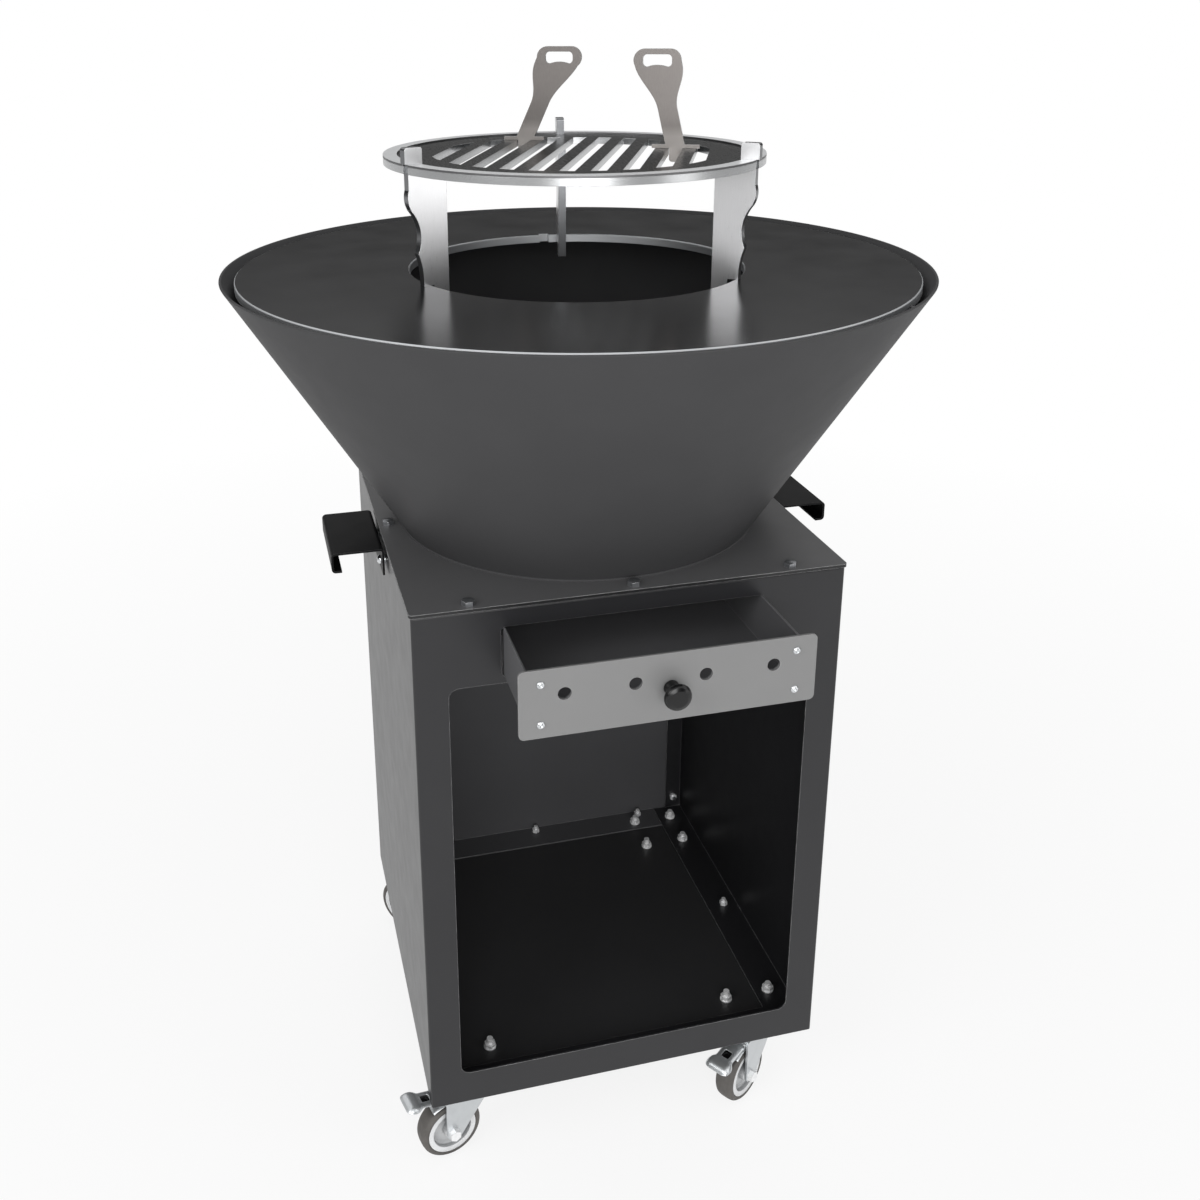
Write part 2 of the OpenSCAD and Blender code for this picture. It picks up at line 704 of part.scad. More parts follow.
module back_panel() color("#454547") difference() {
  union() {
    span([-cab_w / 2 + panel_gap, in_back, cab_z], [cab_w / 2 - panel_gap, cab_d / 2, cab_top]);
    span([-floor_edge_x + panel_gap, floor_edge_back, panel_z],
         [floor_edge_x - panel_gap, in_back + sheet / 2, flange_z]);
    span([-in_x + top_flange_w + panel_gap, in_back - top_flange_w, cab_top - sheet],
         [in_x - top_flange_w - panel_gap, in_back + sheet / 2, cab_top]);
  }
  translate([0, cab_d / 2, cab_top]) rotate([0, 0, 90]) along_y(-cab_w, cab_w) bend_corner();
  drill_z(base_bolts_back, bolt_d, cab_top - sheet, cab_top);
  drill_z(floor_bolts_back, mid_d, panel_z, flange_z);
  drill_z(caster_bolt_places, bolt_d, panel_z, flange_z);
  for (x = [-rear_x, rear_x], z = rear_zs)
    translate([x, cab_d / 2 + over, z]) rotate([90, 0, 0]) mid_hole(sheet);
}

module floor_panel() color("#3b3b3d") difference() {
  span([-in_x + panel_gap, in_front + panel_gap, cab_z], [in_x - panel_gap, rear_in - panel_gap, panel_z]);
  drill_z(concat(floor_bolts_side, floor_bolts_back), mid_d, cab_z, panel_z);
  drill_z(caster_bolt_places, bolt_d, cab_z, panel_z);
}

module rail_right() color("#3b3b3d") {
  span([rail_x - ledge_w, in_front, ledge_z - rail_t], [rail_x + rail_t, in_back, ledge_z]);
  span([rail_x, in_front, ledge_z - rail_t], [rail_x + rail_t, in_back, ledge_z + rail_h]);
  for (y = [in_front, in_back - rail_t])
    span([rail_x, y, ledge_z - rail_t], [rail_x + rail_tab_w, y + rail_t, ledge_z + rail_h]);
}
module rail_left() mirror([1, 0, 0]) rail_right();

// middle size bolt through two sheets and its nut
module mid_bolt() hex_bolt(mid_d, mid_af, mid_head_h, sheet * 2 + mid_nut_h + thread_out);

module back_panel_bolts() color("#b9bcc0") for (x = [-rear_x, rear_x], z = rear_zs)
  translate([x, cab_d / 2, z]) rotate([-90, 0, 0]) mid_bolt();

module back_panel_nuts() color("#b9bcc0") for (x = [-rear_x, rear_x], z = rear_zs)
  translate([x, rear_in, z]) rotate([90, 0, 0]) hex_nut(mid_d, mid_af, mid_nut_h, mid_af, nut_face_t);

module floor_bolts() color("#b9bcc0") for (p = concat(floor_bolts_side, floor_bolts_back))
  translate([p[0], p[1], cab_z]) mirror([0, 0, 1]) mid_bolt();

module floor_nuts() color("#b9bcc0") for (p = concat(floor_bolts_side, floor_bolts_back))
  translate([p[0], p[1], flange_z]) hex_nut(mid_d, mid_af, mid_nut_h, mid_af, nut_face_t);

// screw places in the drawer's front, and the air holes
front_screw_x = box_w / 2 - front_screw_side;
front_screw_zs = [box_z + front_screw_end, box_top - front_screw_end];
front_screw_at = [for (x = [-front_screw_x, front_screw_x], z = front_screw_zs) [x, z]];
vent_x_out = box_w / 2 - vent_side;
vent_at = [for (x = [-vent_x_out, -vent_x_in, vent_x_in, vent_x_out]) [x, box_top - vent_down]];
knob_z = (box_z + box_top) / 2;
knob_crown_r = knob_d * knob_crown_share;

// holes that the front plate and the box wall share
module front_holes() {
  for (p = front_screw_at) translate([p[0], front_y - over, p[1]]) rotate([-90, 0, 0])
    cylinder(d = small_d + hole_gap * 2, h = front_t + box_t + over * 2);
  for (p = vent_at) translate([p[0], front_y - over, p[1]]) rotate([-90, 0, 0])
    cylinder(d = vent_d, h = front_t + box_t + over * 2);
  translate([0, front_y - over, knob_z]) rotate([-90, 0, 0])
    cylinder(d = small_d + hole_gap * 2, h = front_t + box_t + over * 2);
}

module drawer_box() color("#4a4a4c") difference() {
  span([-box_w / 2, front_back_y, box_z], [box_w / 2, front_back_y + box_l, box_top]);
  span([-box_w / 2 + box_t, front_back_y + box_t, box_z + box_t],
       [box_w / 2 - box_t, front_back_y + box_l - box_t, box_top + over]);
  front_holes();
}

module drawer_front() color("#8d8d8d") difference() {
  translate([0, 0, front_z + front_h / 2]) along_y(front_y, front_back_y) rrect(front_w, front_h, front_r);
  front_holes();
}

module drawer_screws() color("#d5d7d9") for (p = front_screw_at) translate([p[0], front_y, p[1]])
  rotate([90, 0, 0]) round_screw(small_d, small_head_d, small_head_h, front_t + box_t + small_nut_h + over);

module drawer_nuts() color("#b9bcc0") for (p = front_screw_at) translate([p[0], front_back_y + box_t, p[1]])
  rotate([-90, 0, 0]) rotate(30) hex_nut(small_d, small_af, small_nut_h, small_af, over);

module drawer_knob() color("#141414") translate([0, front_y, knob_z]) rotate([90, 0, 0]) {
  cylinder(d = knob_foot_d, h = knob_foot_t);
  cylinder(d = knob_neck_d, h = knob_l - knob_head_t);
  translate([0, 0, knob_l - knob_head_t * 2]) rotate_extrude() intersection() {
    translate([0, -knob_d]) square([knob_d, knob_d + knob_head_t * 2]);
    union() {
      square([knob_d / 2, knob_head_t]);
      translate([0, knob_head_t * 2 - knob_crown_r]) intersection() {
        circle(r = knob_crown_r);
        translate([0, knob_crown_r - knob_head_t]) square([knob_d / 2, knob_head_t]);
      }
    }
  }
  translate([0, 0, -front_t - box_t - small_nut_h - over])
    cylinder(d = small_d, h = front_t + box_t + small_nut_h + over * 2);
}

module knob_nut() color("#b9bcc0") translate([0, front_back_y + box_t, knob_z])
  rotate([-90, 0, 0]) hex_nut(small_d, small_af, small_nut_h, small_af, over);

module base_plate() color("#3f3f41") difference() {
  translate([0, 0, cab_top]) linear_extrude(base_t)
    rrect(cab_w + base_over * 2, cab_d + base_over * 2, base_r);
  translate([0, 0, cab_top - over]) cylinder(d = ash_d, h = base_t + over * 2);
  drill_z(concat(base_bolts, base_bolts_back), bolt_d, cab_top, base_top);
}

// flats of the base bolts lie along the nearest edge
module turned_to(p) translate([p[0], p[1], 0]) rotate(abs(p[1]) > 0 ? 90 : 0) children();

module base_bolts_hex() color("#9a9ca0") for (p = concat(base_bolts, base_bolts_back)) turned_to(p)
  translate([0, 0, base_top]) hex_bolt(bolt_d, bolt_af, bolt_head_h, base_t + sheet + nut_h + thread_out);

module base_nuts() color("#9a9ca0") for (p = concat(base_bolts, base_bolts_back)) turned_to(p)
  translate([0, 0, cab_top - sheet]) mirror([0, 0, 1]) hex_nut(bolt_d, bolt_af, nut_h, bolt_af, nut_face_t);

module fire_bowl() color("#454546") translate([0, 0, base_top]) rotate_extrude($fn = 180) {
  polygon([[bowl_foot_r - cone_t, 0], [bowl_foot_r, 0], [bowl_rim_r, bowl_h], [bowl_rim_r - cone_t, bowl_h]]);
  intersection() {
    translate([bowl_foot_r, 0]) circle(r = bead_r, $fn = 32);
    translate([bowl_foot_r, 0]) square(bead_r);
  }
}

// inside of the bowl, held a little off the sheet
module bowl_inside() translate([0, 0, base_top]) rotate_extrude($fn = 180)
  polygon([
    [0, 0], [bowl_foot_r - cone_t - slide_gap, 0], [bowl_rim_r - cone_t - slide_gap, bowl_h], [0, bowl_h]
  ]);

module plate_lugs() color("#3a3a3b") intersection() {
  bowl_inside();
  for (i = [0 : lug_n - 1]) rotate(i * 360 / lug_n + 180 / lug_n) translate([0, lug_t / 2, hot_z - slide_gap])
    rotate([90, 0, 0]) linear_extrude(lug_t) polygon([
      [hot_d / 2 - lug_seat, -lug_h], [hot_d / 2 - lug_seat, 0], [hot_d / 2 + lug_gap, 0],
      [hot_d / 2 + lug_gap, lug_stop], [bowl_rim_r, lug_stop], [bowl_rim_r, -lug_wall_h]
    ]);
}

module hot_plate() color("#46474a") difference() {
  translate([0, 0, hot_z]) rotate_extrude($fn = 180) polygon([
    [hot_hole_d / 2, 0], [hot_d / 2, 0], [hot_d / 2, hot_t - hot_bevel], [hot_d / 2 - hot_bevel, hot_t],
    [hot_hole_d / 2 + hot_bevel, hot_t], [hot_hole_d / 2, hot_t - hot_bevel]
  ]);
  rotate(notch_az) translate([hot_hole_d / 2 - notch_l, -notch_w / 2, hot_z - over])
    cube([notch_l * 2, notch_w, hot_t + over * 2]);
}

// places the grate and what stands with it
module at_grate() translate([grate_x, grate_y, 0]) children();

// the three legs' directions
leg_dirs = [leg_az, leg_az + 120, leg_az + 240];

module leg_notches(z0, z1) for (a = leg_dirs) rotate(a)
  translate([tab_in_r - neck_gap, -leg_t / 2 - neck_gap, z0]) cube([grate_r, leg_t + neck_gap * 2, z1 - z0]);

// offset of slot number i, counted from the left, and half of its length
function slot_at(i) = (i - (slot_n + 1) / 2) * slot_pitch;
function slot_half(i) = sqrt(slot_end_r * slot_end_r - slot_at(i) * slot_at(i));

module grate_plate() color("#4d4e50") at_grate() difference() {
  translate([0, 0, grate_z]) cylinder(r = grate_r, h = grate_t, $fn = 180);
  translate([0, 0, grate_z - over]) linear_extrude(grate_t + over * 2) intersection() {
    rotate(slot_az - 90) for (i = [1 : slot_n]) translate([slot_at(i) - slot_w / 2, -grate_r])
      square([slot_w, grate_r * 2]);
    circle(r = slot_end_r, $fn = 180);
  }
  leg_notches(grate_z - over, grate_top + over);
}

module grate_ring() color("#b4b6b8") at_grate() difference() {
  translate([0, 0, grate_top]) cylinder(r = grate_r, h = ring_t, $fn = 180);
  translate([0, 0, grate_top - over]) cylinder(r = grate_r - ring_w, h = ring_t + over * 2, $fn = 180);
  leg_notches(grate_top - over, ring_top + over);
}

// side view of a leg: radius across, height over the hot plate up
module leg_outline() {
  difference() {
    union() {
      translate([leg_in_r, 0]) square([foot_r - leg_in_r, waist_h]);
      translate([leg_in_r, sweep_h]) square([belly_out - leg_in_r, belly_h - belly_r / 2 - sweep_h]);
      translate([belly_out - belly_r, belly_h]) intersection() {
        circle(r = belly_r);
        translate([0, -belly_r]) square([belly_r, leg_h - belly_h + belly_r]);
      }
      translate([leg_in_r, waist_h]) square([belly_out - belly_r - leg_in_r, leg_h - waist_h]);
      translate([leg_in_r, belly_h]) square([brow_r - leg_in_r, leg_h - belly_h]);
    }
    translate([foot_r + sweep_r, sweep_h]) circle(r = sweep_r, $fn = 180);
    translate([waist_r + waist_sweep, waist_h]) circle(r = waist_sweep, $fn = 128);
  }
  translate([leg_in_r, -tongue_l]) square([tongue_r - leg_in_r, tongue_l + over]);
  translate([tab_in_r, leg_h - over]) square([neck_r - tab_in_r, grate_t + ring_t + over * 2]);
  rounded(
    [[tab_in_r, leg_h + grate_t + ring_t], [tab_out_r, leg_h + grate_t + ring_t],
     [tab_out_r, leg_h + grate_t + ring_t + tab_up], [tab_in_r, leg_h + grate_t + ring_t + tab_up]],
    [0, tab_foot_r, tab_r, tab_r]);
}

module leg(i) color("#b2b4b6") at_grate() rotate(leg_dirs[i]) translate([0, leg_t / 2, hot_top])
  rotate([90, 0, 0]) linear_extrude(leg_t) leg_outline();
module leg_left() leg(0);
module leg_right() leg(1);
module leg_back() leg(2);

// point x beside a lifter's leaning middle line at the height v
function slant(x, v, k) = [x + k * v, v];
// half width of a lifter at step i of its flare, which follows half a cosine wave
function flare_x(i) = (shaft_w + (head_w - shaft_w) * (1 - cos(180 * i / flare_n)) / 2) / 2;
// points up a lifter's flank, on the side s = -1 or 1 of its middle line
function flank(s, k) = concat(
  [slant(s * shaft_w / 2, 0, k)],
  [for (i = [0 : flare_n]) slant(s * flare_x(i), shaft_h + (flare_h - shaft_h) * i / flare_n, k)],
  [slant(s * head_w / 2, tool_h - head_r, k)]);
function backwards(p) = [for (i = [1 : len(p)]) p[len(p) - i]];

// flat outline of a lifter: the guard's underside is at 0, lean is the top's shift
module lifter_outline(guard_w, lean) {
  k = lean / tool_h;
  translate([-guard_w / 2, 0]) square([guard_w, guard_h]);
  polygon(concat(flank(1, k), backwards(flank(-1, k))));
  translate(slant(0, tool_h - head_r, k)) {
    for (s = [-1, 1]) translate([s * (head_w / 2 - head_r), 0]) circle(r = head_r);
    translate([head_r - head_w / 2, 0]) square([head_w - head_r * 2, head_r]);
  }
  rounded(
    [[-tongue_w / 2, guard_h / 2], [-tongue_w / 2, -tongue_down],
     [tongue_w / 2, -tongue_down], [tongue_w / 2, guard_h / 2]],
    [0, tongue_end_r, tongue_end_r, 0]);
}

// hole in the head: a rounded slot whose lower edge has a round hump
module opener_hole(lean) {
  mid = tool_h - opener_brow - opener_h / 2;
  flat = opener_w / 2 - opener_r;
  hump_r = (flat * flat + opener_hump * opener_hump) / opener_hump / 2;
  translate(slant(0, mid, lean / tool_h)) difference() {
    rrect(opener_w, opener_h, opener_r);
    translate([0, opener_hump - opener_h / 2 - hump_r]) circle(r = hump_r, $fn = 180);
  }
}

// lifter in slot number i, end_d from the slot's back end; flip 1 turns its lean to the other side
module lifter(i, end_d, flip, guard_w, lean) color("#8f8b87") at_grate() rotate(slot_az - 90)
  translate([slot_at(i), slot_half(i) - end_d - tool_t / 2, grate_top + slide_gap]) mirror([flip, 0, 0])
    along_y(0, tool_t) difference() {
      lifter_outline(guard_w, lean);
      opener_hole(lean);
    }
module lifter_left() lifter(tool_left_n, tool_left_end, 0, guard_w_left, lean_left);
module lifter_right() lifter(tool_right_n, tool_right_end, 1, guard_w_right, lean_right);

// side view of a handle: x out from the flange, z down from the top
module handle_profile() difference() {
  translate([handle_reach / 2, -handle_drop / 2]) rrect(handle_reach, handle_drop, handle_bend_r);
  translate([handle_reach / 2, -handle_drop / 2])
    rrect(handle_reach - handle_t * 2, handle_drop - handle_t * 2, handle_bend_in);
  translate([-over, -handle_drop - over]) square([handle_reach - handle_lip + over, handle_drop / 2 + over]);
}

module handle_right() color("#1f1f20") difference() {
  union() {
    translate([handle_x, 0, handle_z]) along_y(-handle_l / 2, handle_l / 2) handle_profile();
    span([handle_x, -handle_l / 2, handle_z - handle_flange_h],
         [handle_x + handle_t, handle_l / 2, handle_z - handle_bend_r]);
  }
  for (y = [-handle_screw_y, handle_screw_y]) translate([handle_x - over, y, handle_screw_z])
    rotate([0, 90, 0]) mid_hole(handle_t);
}
module handle_left() mirror([1, 0, 0]) handle_right();

// the four places of the handles' screws, drawn out along X from the cabinet's side
module at_handle_screws() for (s = [0, 1], y = [-handle_screw_y, handle_screw_y]) mirror([s, 0, 0])
  translate([cab_w / 2, y, handle_screw_z]) rotate([0, 90, 0]) children();

module handle_spacers() color("#b9bcc0") at_handle_screws() difference() {
  cylinder(d = spacer_d, h = spacer_t);
  translate([0, 0, -over]) mid_hole(spacer_t);
}

module handle_screws() color("#d5d7d9") at_handle_screws() translate([0, 0, spacer_t + handle_t])
  round_screw(mid_d, mid_head_d, mid_head_h, spacer_t + handle_t + sheet + mid_nut_h + over);

module handle_nuts() color("#b9bcc0") at_handle_screws() translate([0, 0, -sheet]) mirror([0, 0, 1])
  hex_nut(mid_d, mid_af, mid_nut_h, mid_af, nut_face_t);

module caster_bolts() color("#c4c6c9") for (p = caster_bolt_places) translate([p[0], p[1], plate_z])
  mirror([0, 0, 1]) hex_bolt(bolt_d, bolt_af, bolt_head_h, caster_plate_t + sheet * 2 + nut_h + thread_out);

module caster_nuts() color("#c4c6c9") for (p = caster_bolt_places) translate([p[0], p[1], nut_seat(p)])
  hex_nut(bolt_d, bolt_af, nut_h, nut_face_d, nut_face_t);

// top plate with the race housing and the kingpin, standing square to the cabinet
module caster_plate(c) color("#c9cbce") translate([c[0], c[1], 0]) {
  difference() {
    translate([0, 0, plate_z]) linear_extrude(caster_plate_t)
      rrect(caster_plate_w, caster_plate_w, caster_plate_r);
    drill_z(pattern([0, 0]), bolt_d, plate_z, caster_h);
  }
  translate([0, 0, race_z]) cylinder(d = race_d, h = race_h + caster_plate_t / 2);
  translate([0, 0, king_head_z - over]) cylinder(d = king_d, h = race_z - king_head_z + over * 2);
  translate([0, 0, king_head_z - king_head_t]) cylinder(d = king_head_d, h = king_head_t);
}

// turns a caster's parts to the direction a about its swivel axis
module turned(c, a) translate([c[0], c[1], 0]) rotate(a) children();

module fork(c, a, braked) color("#c9cbce") turned(c, a) {
  difference() {
    union() {
      translate([0, 0, crown_z]) cylinder(r = crown_r, h = fork_t);
      span([-fork_front, -fork_out / 2, crown_z], [trail + fork_back, fork_out / 2, crown_top]);
      for (y = [-fork_out / 2, fork_in / 2]) along_y(y, y + fork_t) rounded(
        [[-fork_front, crown_top], [-fork_front, fork_slope_z], [trail - fork_back, wheel_r - fork_back],
         [trail + fork_back, wheel_r - fork_back], [trail + fork_back, crown_top]],
        [0, fork_front_r, fork_front_r, fork_r, 0]);
    }
    translate([0, 0, crown_z - over]) cylinder(d = king_d + turn_gap * 2, h = fork_t + over * 2);
    translate([trail, fork_out, wheel_r]) rotate([90, 0, 0]) cylinder(d = axle_d, h = fork_out * 2);
  }
  if (braked) translate([pedal_pin_s, fork_in / 2 + over, pedal_pin_z]) rotate([90, 0, 0])
    cylinder(d = pedal_pin_d, h = fork_in + over * 2);
}

// axle bolt with its nut, lying along Y
module axle(c, a) color("#dcdedf") turned(c, a) translate([trail, 0, wheel_r]) rotate([90, 0, 0]) {
  translate([0, 0, -fork_out / 2]) cylinder(d = axle_d, h = fork_out);
  translate([0, 0, fork_out / 2]) linear_extrude(bolt_head_h) hexagon(bolt_af);
  translate([0, 0, -fork_out / 2 - nut_h]) linear_extrude(nut_h) hexagon(bolt_af);
}

// puts a wheel's revolved pieces on the axle
module on_axle(c, a) turned(c, a) translate([trail, 0, wheel_r]) rotate([90, 0, 0]) children();

module tyre(c, a) color("#6c6a68") on_axle(c, a) rotate_extrude() difference() {
  translate([core_r - tyre_r, 0]) rrect((tyre_t + tyre_r) * 2, tyre_w, tyre_r);
  translate([0, -tyre_w]) square([core_r, tyre_w * 2]);
  translate([-wheel_r, -tyre_w]) square([wheel_r, tyre_w * 2]);
}

module wheel(c, a) color("#e4e5e6") on_axle(c, a) rotate_extrude() {
  translate([core_r - core_t, -core_w / 2]) square([core_t, core_w]);
  translate([axle_d / 2 + turn_gap, -web_t / 2]) square([core_r - axle_d / 2 - turn_gap, web_t]);
  translate([axle_d / 2 + turn_gap, -hub_w / 2]) square([(hub_d - axle_d) / 2 - turn_gap, hub_w]);
}

// plan of a pedal's pad from x0 to its outer edge, drawn in by i on three sides
module pad_plan(x0, i) rounded(
  [[x0, i - pedal_pad_w / 2], [pedal_pad_l - i, i - pedal_pad_w / 2],
   [pedal_pad_l - i, pedal_pad_w / 2 - i], [x0, pedal_pad_w / 2 - i]],
  [0, pedal_pad_r - i, pedal_pad_r - i, 0]);

// brake pedal tilted up by the angle tilt: barrel on its pin, arm with a window, and a pad
// whose edge is turned down
module pedal(c, a, tilt) color("#b3b5b7") turned(c, a) translate([pedal_pin_s, 0, pedal_pin_z])
  rotate([0, -tilt, 0]) difference() {
    union() {
      rotate([90, 0, 0]) translate([0, 0, -pedal_arm_w / 2]) cylinder(d = pedal_barrel_d, h = pedal_arm_w);
      span([0, -pedal_arm_w / 2, 0], [pedal_arm_l, pedal_arm_w / 2, pedal_t]);
      translate([pedal_arm_l - pedal_t, 0, pad_top - pedal_skirt]) difference() {
        linear_extrude(pedal_skirt) pad_plan(0, 0);
        translate([0, 0, -over]) linear_extrude(pedal_skirt - pedal_t + over) pad_plan(-over, pedal_t);
      }
    }
    rotate([90, 0, 0]) translate([0, 0, -pedal_arm_w])
      cylinder(d = pedal_pin_d + turn_gap * 2, h = pedal_arm_w * 2);
    span([window_s, -pedal_window_w / 2, -over],
         [window_s + pedal_window_l, pedal_window_w / 2, pedal_t + over]);
  }

module plate_fl() caster_plate(caster_fl_at);
module plate_fr() caster_plate(caster_fr_at);
module plate_bl() caster_plate(caster_bl_at);
module plate_br() caster_plate(caster_br_at);
module fork_fl() fork(caster_fl_at, turn_fl, true);
module fork_fr() fork(caster_fr_at, turn_fr, true);
module fork_bl() fork(caster_bl_at, turn_bl, false);
module fork_br() fork(caster_br_at, turn_br, false);
module tyre_fl() tyre(caster_fl_at, turn_fl);
module tyre_fr() tyre(caster_fr_at, turn_fr);
module tyre_bl() tyre(caster_bl_at, turn_bl);
module tyre_br() tyre(caster_br_at, turn_br);
module wheel_fl() wheel(caster_fl_at, turn_fl);
module wheel_fr() wheel(caster_fr_at, turn_fr);
module wheel_bl() wheel(caster_bl_at, turn_bl);
module wheel_br() wheel(caster_br_at, turn_br);
module axle_fl() axle(caster_fl_at, turn_fl);
module axle_fr() axle(caster_fr_at, turn_fr);
module axle_bl() axle(caster_bl_at, turn_bl);
module axle_br() axle(caster_br_at, turn_br);
module pedal_fl() pedal(caster_fl_at, turn_fl, pedal_fl_tilt);
module pedal_fr() pedal(caster_fr_at, turn_fr, pedal_fr_tilt);

cabinet_shell();
back_panel();
floor_panel();
rail_left();
rail_right();
back_panel_bolts();
back_panel_nuts();
floor_bolts();
floor_nuts();
drawer_box();
drawer_front();
drawer_screws();
drawer_nuts();
drawer_knob();
knob_nut();
base_plate();
base_bolts_hex();
base_nuts();
fire_bowl();
plate_lugs();
hot_plate();
grate_plate();
grate_ring();
leg_left();
leg_right();
leg_back();
lifter_left();
lifter_right();
handle_left();
handle_right();
handle_spacers();
handle_screws();
handle_nuts();
caster_bolts();
caster_nuts();
plate_fl();
fork_fl();
tyre_fl();
wheel_fl();
axle_fl();
pedal_fl();
plate_fr();
fork_fr();
tyre_fr();
wheel_fr();
axle_fr();
pedal_fr();
plate_bl();
fork_bl();
tyre_bl();
wheel_bl();
axle_bl();
plate_br();
fork_br();
tyre_br();
wheel_br();
axle_br();
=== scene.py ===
# %% [markdown]
# Fire pit grill: a sheet steel cabinet on casters, a cone shaped fire bowl, a ring shaped hot
# plate and a slotted grate on legs. The construction comes from the CAD model, which is loaded as
# a fixed frame in metres. Here each piece gets the finish that the real one has, with some light
# and shade painted into a few of the colours, and turned and pressed pieces are made again as
# smooth surfaces.

# %% Load the frame
import json

import bmesh
import bpy
import numpy as np
from mathutils import Matrix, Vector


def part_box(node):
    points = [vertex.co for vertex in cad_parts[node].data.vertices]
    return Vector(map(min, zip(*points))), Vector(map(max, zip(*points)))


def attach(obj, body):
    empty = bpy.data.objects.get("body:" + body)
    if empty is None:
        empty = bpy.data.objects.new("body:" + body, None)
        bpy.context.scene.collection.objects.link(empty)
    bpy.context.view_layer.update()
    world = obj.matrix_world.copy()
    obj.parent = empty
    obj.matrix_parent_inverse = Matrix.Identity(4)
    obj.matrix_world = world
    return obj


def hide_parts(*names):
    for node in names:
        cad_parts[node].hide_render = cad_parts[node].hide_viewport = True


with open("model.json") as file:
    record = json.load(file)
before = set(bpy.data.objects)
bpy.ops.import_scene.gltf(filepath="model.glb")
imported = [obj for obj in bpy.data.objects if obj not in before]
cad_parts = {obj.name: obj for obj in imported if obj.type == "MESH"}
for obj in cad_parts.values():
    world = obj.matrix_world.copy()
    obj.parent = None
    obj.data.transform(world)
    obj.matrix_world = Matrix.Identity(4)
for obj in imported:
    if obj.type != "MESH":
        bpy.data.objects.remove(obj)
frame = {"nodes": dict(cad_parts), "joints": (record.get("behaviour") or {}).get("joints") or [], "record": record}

mm = 0.001
right, ahead, up = np.eye(3)
over = [right, -ahead, -up]
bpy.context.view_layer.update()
joints = {j["name"]: j for j in frame["joints"]}
slots_of = {p["node"]: p["material_slot"] for p in frame["record"]["subparts"]}
caster_keys = ("fl", "fr", "bl", "br")

# %% [markdown]
# Every new piece is a surface over two parameters. A grid of points is worked out as one array,
# and the faces between its rows and columns follow from their numbers alone. Several surfaces
# can be put together into one piece, because a bolt and its thread are one thing to the eye.

# %% Surfaces from grids
def skin(points, wrap_u=False, wrap_v=False):
    """Points (rows, columns, 3) and the quads between neighbouring rows and columns."""
    rows, cols = points.shape[:2]
    u = np.arange(rows if wrap_u else rows - 1)[:, None]
    v = np.arange(cols if wrap_v else cols - 1)[None, :]
    corner = lambda a, b: (u + a) % rows * cols + (v + b) % cols
    quads = np.stack([corner(0, 0), corner(1, 0), corner(1, 1), corner(0, 1)], -1)
    return points.reshape(-1, 3), quads.reshape(-1, 4)


def around(radius, angle, height):
    """Points r (cos, sin) of an angle about the Z axis, at a height."""
    return np.stack(np.broadcast_arrays(radius * np.cos(angle), radius * np.sin(angle), height), -1)


def full_turn(steps):
    """Angles of one turn in equal steps, without the last, which is the first again."""
    return np.linspace(0, 2 * np.pi, steps, endpoint=False)


def turned(profile, steps, closed=False):
    """Surface of revolution: a profile of radius and height is carried round the Z axis."""
    radius, height = np.asarray(profile, float).T
    return skin(around(radius, full_turn(steps)[:, None], height), wrap_u=True, wrap_v=closed)


def soften(corners, radii, steps=6):
    """Rounds corners: a curve leaves each corner's sides radius / tan(half its angle) away."""
    p = np.asarray(corners, float)
    back, onward = np.roll(p, 1, 0) - p, np.roll(p, -1, 0) - p
    back, onward = (d / np.linalg.norm(d, axis=1, keepdims=True) for d in (back, onward))
    bend = (back * onward).sum(1, keepdims=True)
    reach = np.broadcast_to(radii, len(p))[:, None] * np.sqrt((1 + bend) / (1 - bend))
    s = np.linspace(0, 1, steps)[None, :, None]
    start, mid, end = (p + back * reach)[:, None], p[:, None], (p + onward * reach)[:, None]
    return ((1 - s) ** 2 * start + 2 * s * (1 - s) * mid + s**2 * end).reshape(-1, 2)


def slab(outline, low, high, edge):
    """Plate: an outline is carried up, set in by the edge at both faces, and shrunk to a cap."""
    p = np.asarray(outline, float)
    along = np.roll(p, -1, 0) - np.roll(p, 1, 0)
    along /= np.maximum(np.linalg.norm(along, axis=1, keepdims=True), 1e-12)
    inward = np.stack([-along[:, 1], along[:, 0]], -1) * edge
    middle = np.broadcast_to(p.mean(0), p.shape)
    rings = [middle, p + inward, p, p, p + inward, middle]
    levels = [low, low, low + edge, high - edge, high, high]
    grid = [np.column_stack([r, np.full(len(r), z)]) for r, z in zip(rings, levels)]
    return skin(np.stack(grid, 1), wrap_u=True)


def moved(part, place, axes=None):
    """Turns a surface to three axes, given as rows, and then moves it to its place."""
    points, quads = part
    return points @ (np.eye(3) if axes is None else np.asarray(axes, float)) + place, quads


# %% [markdown]
# A piece joins its surfaces, merges the seam and the poles, and makes every face point outwards.
# Edges sharper than an angle stay crisp, all others are shaded smooth, as a turned or pressed
# piece of steel is.

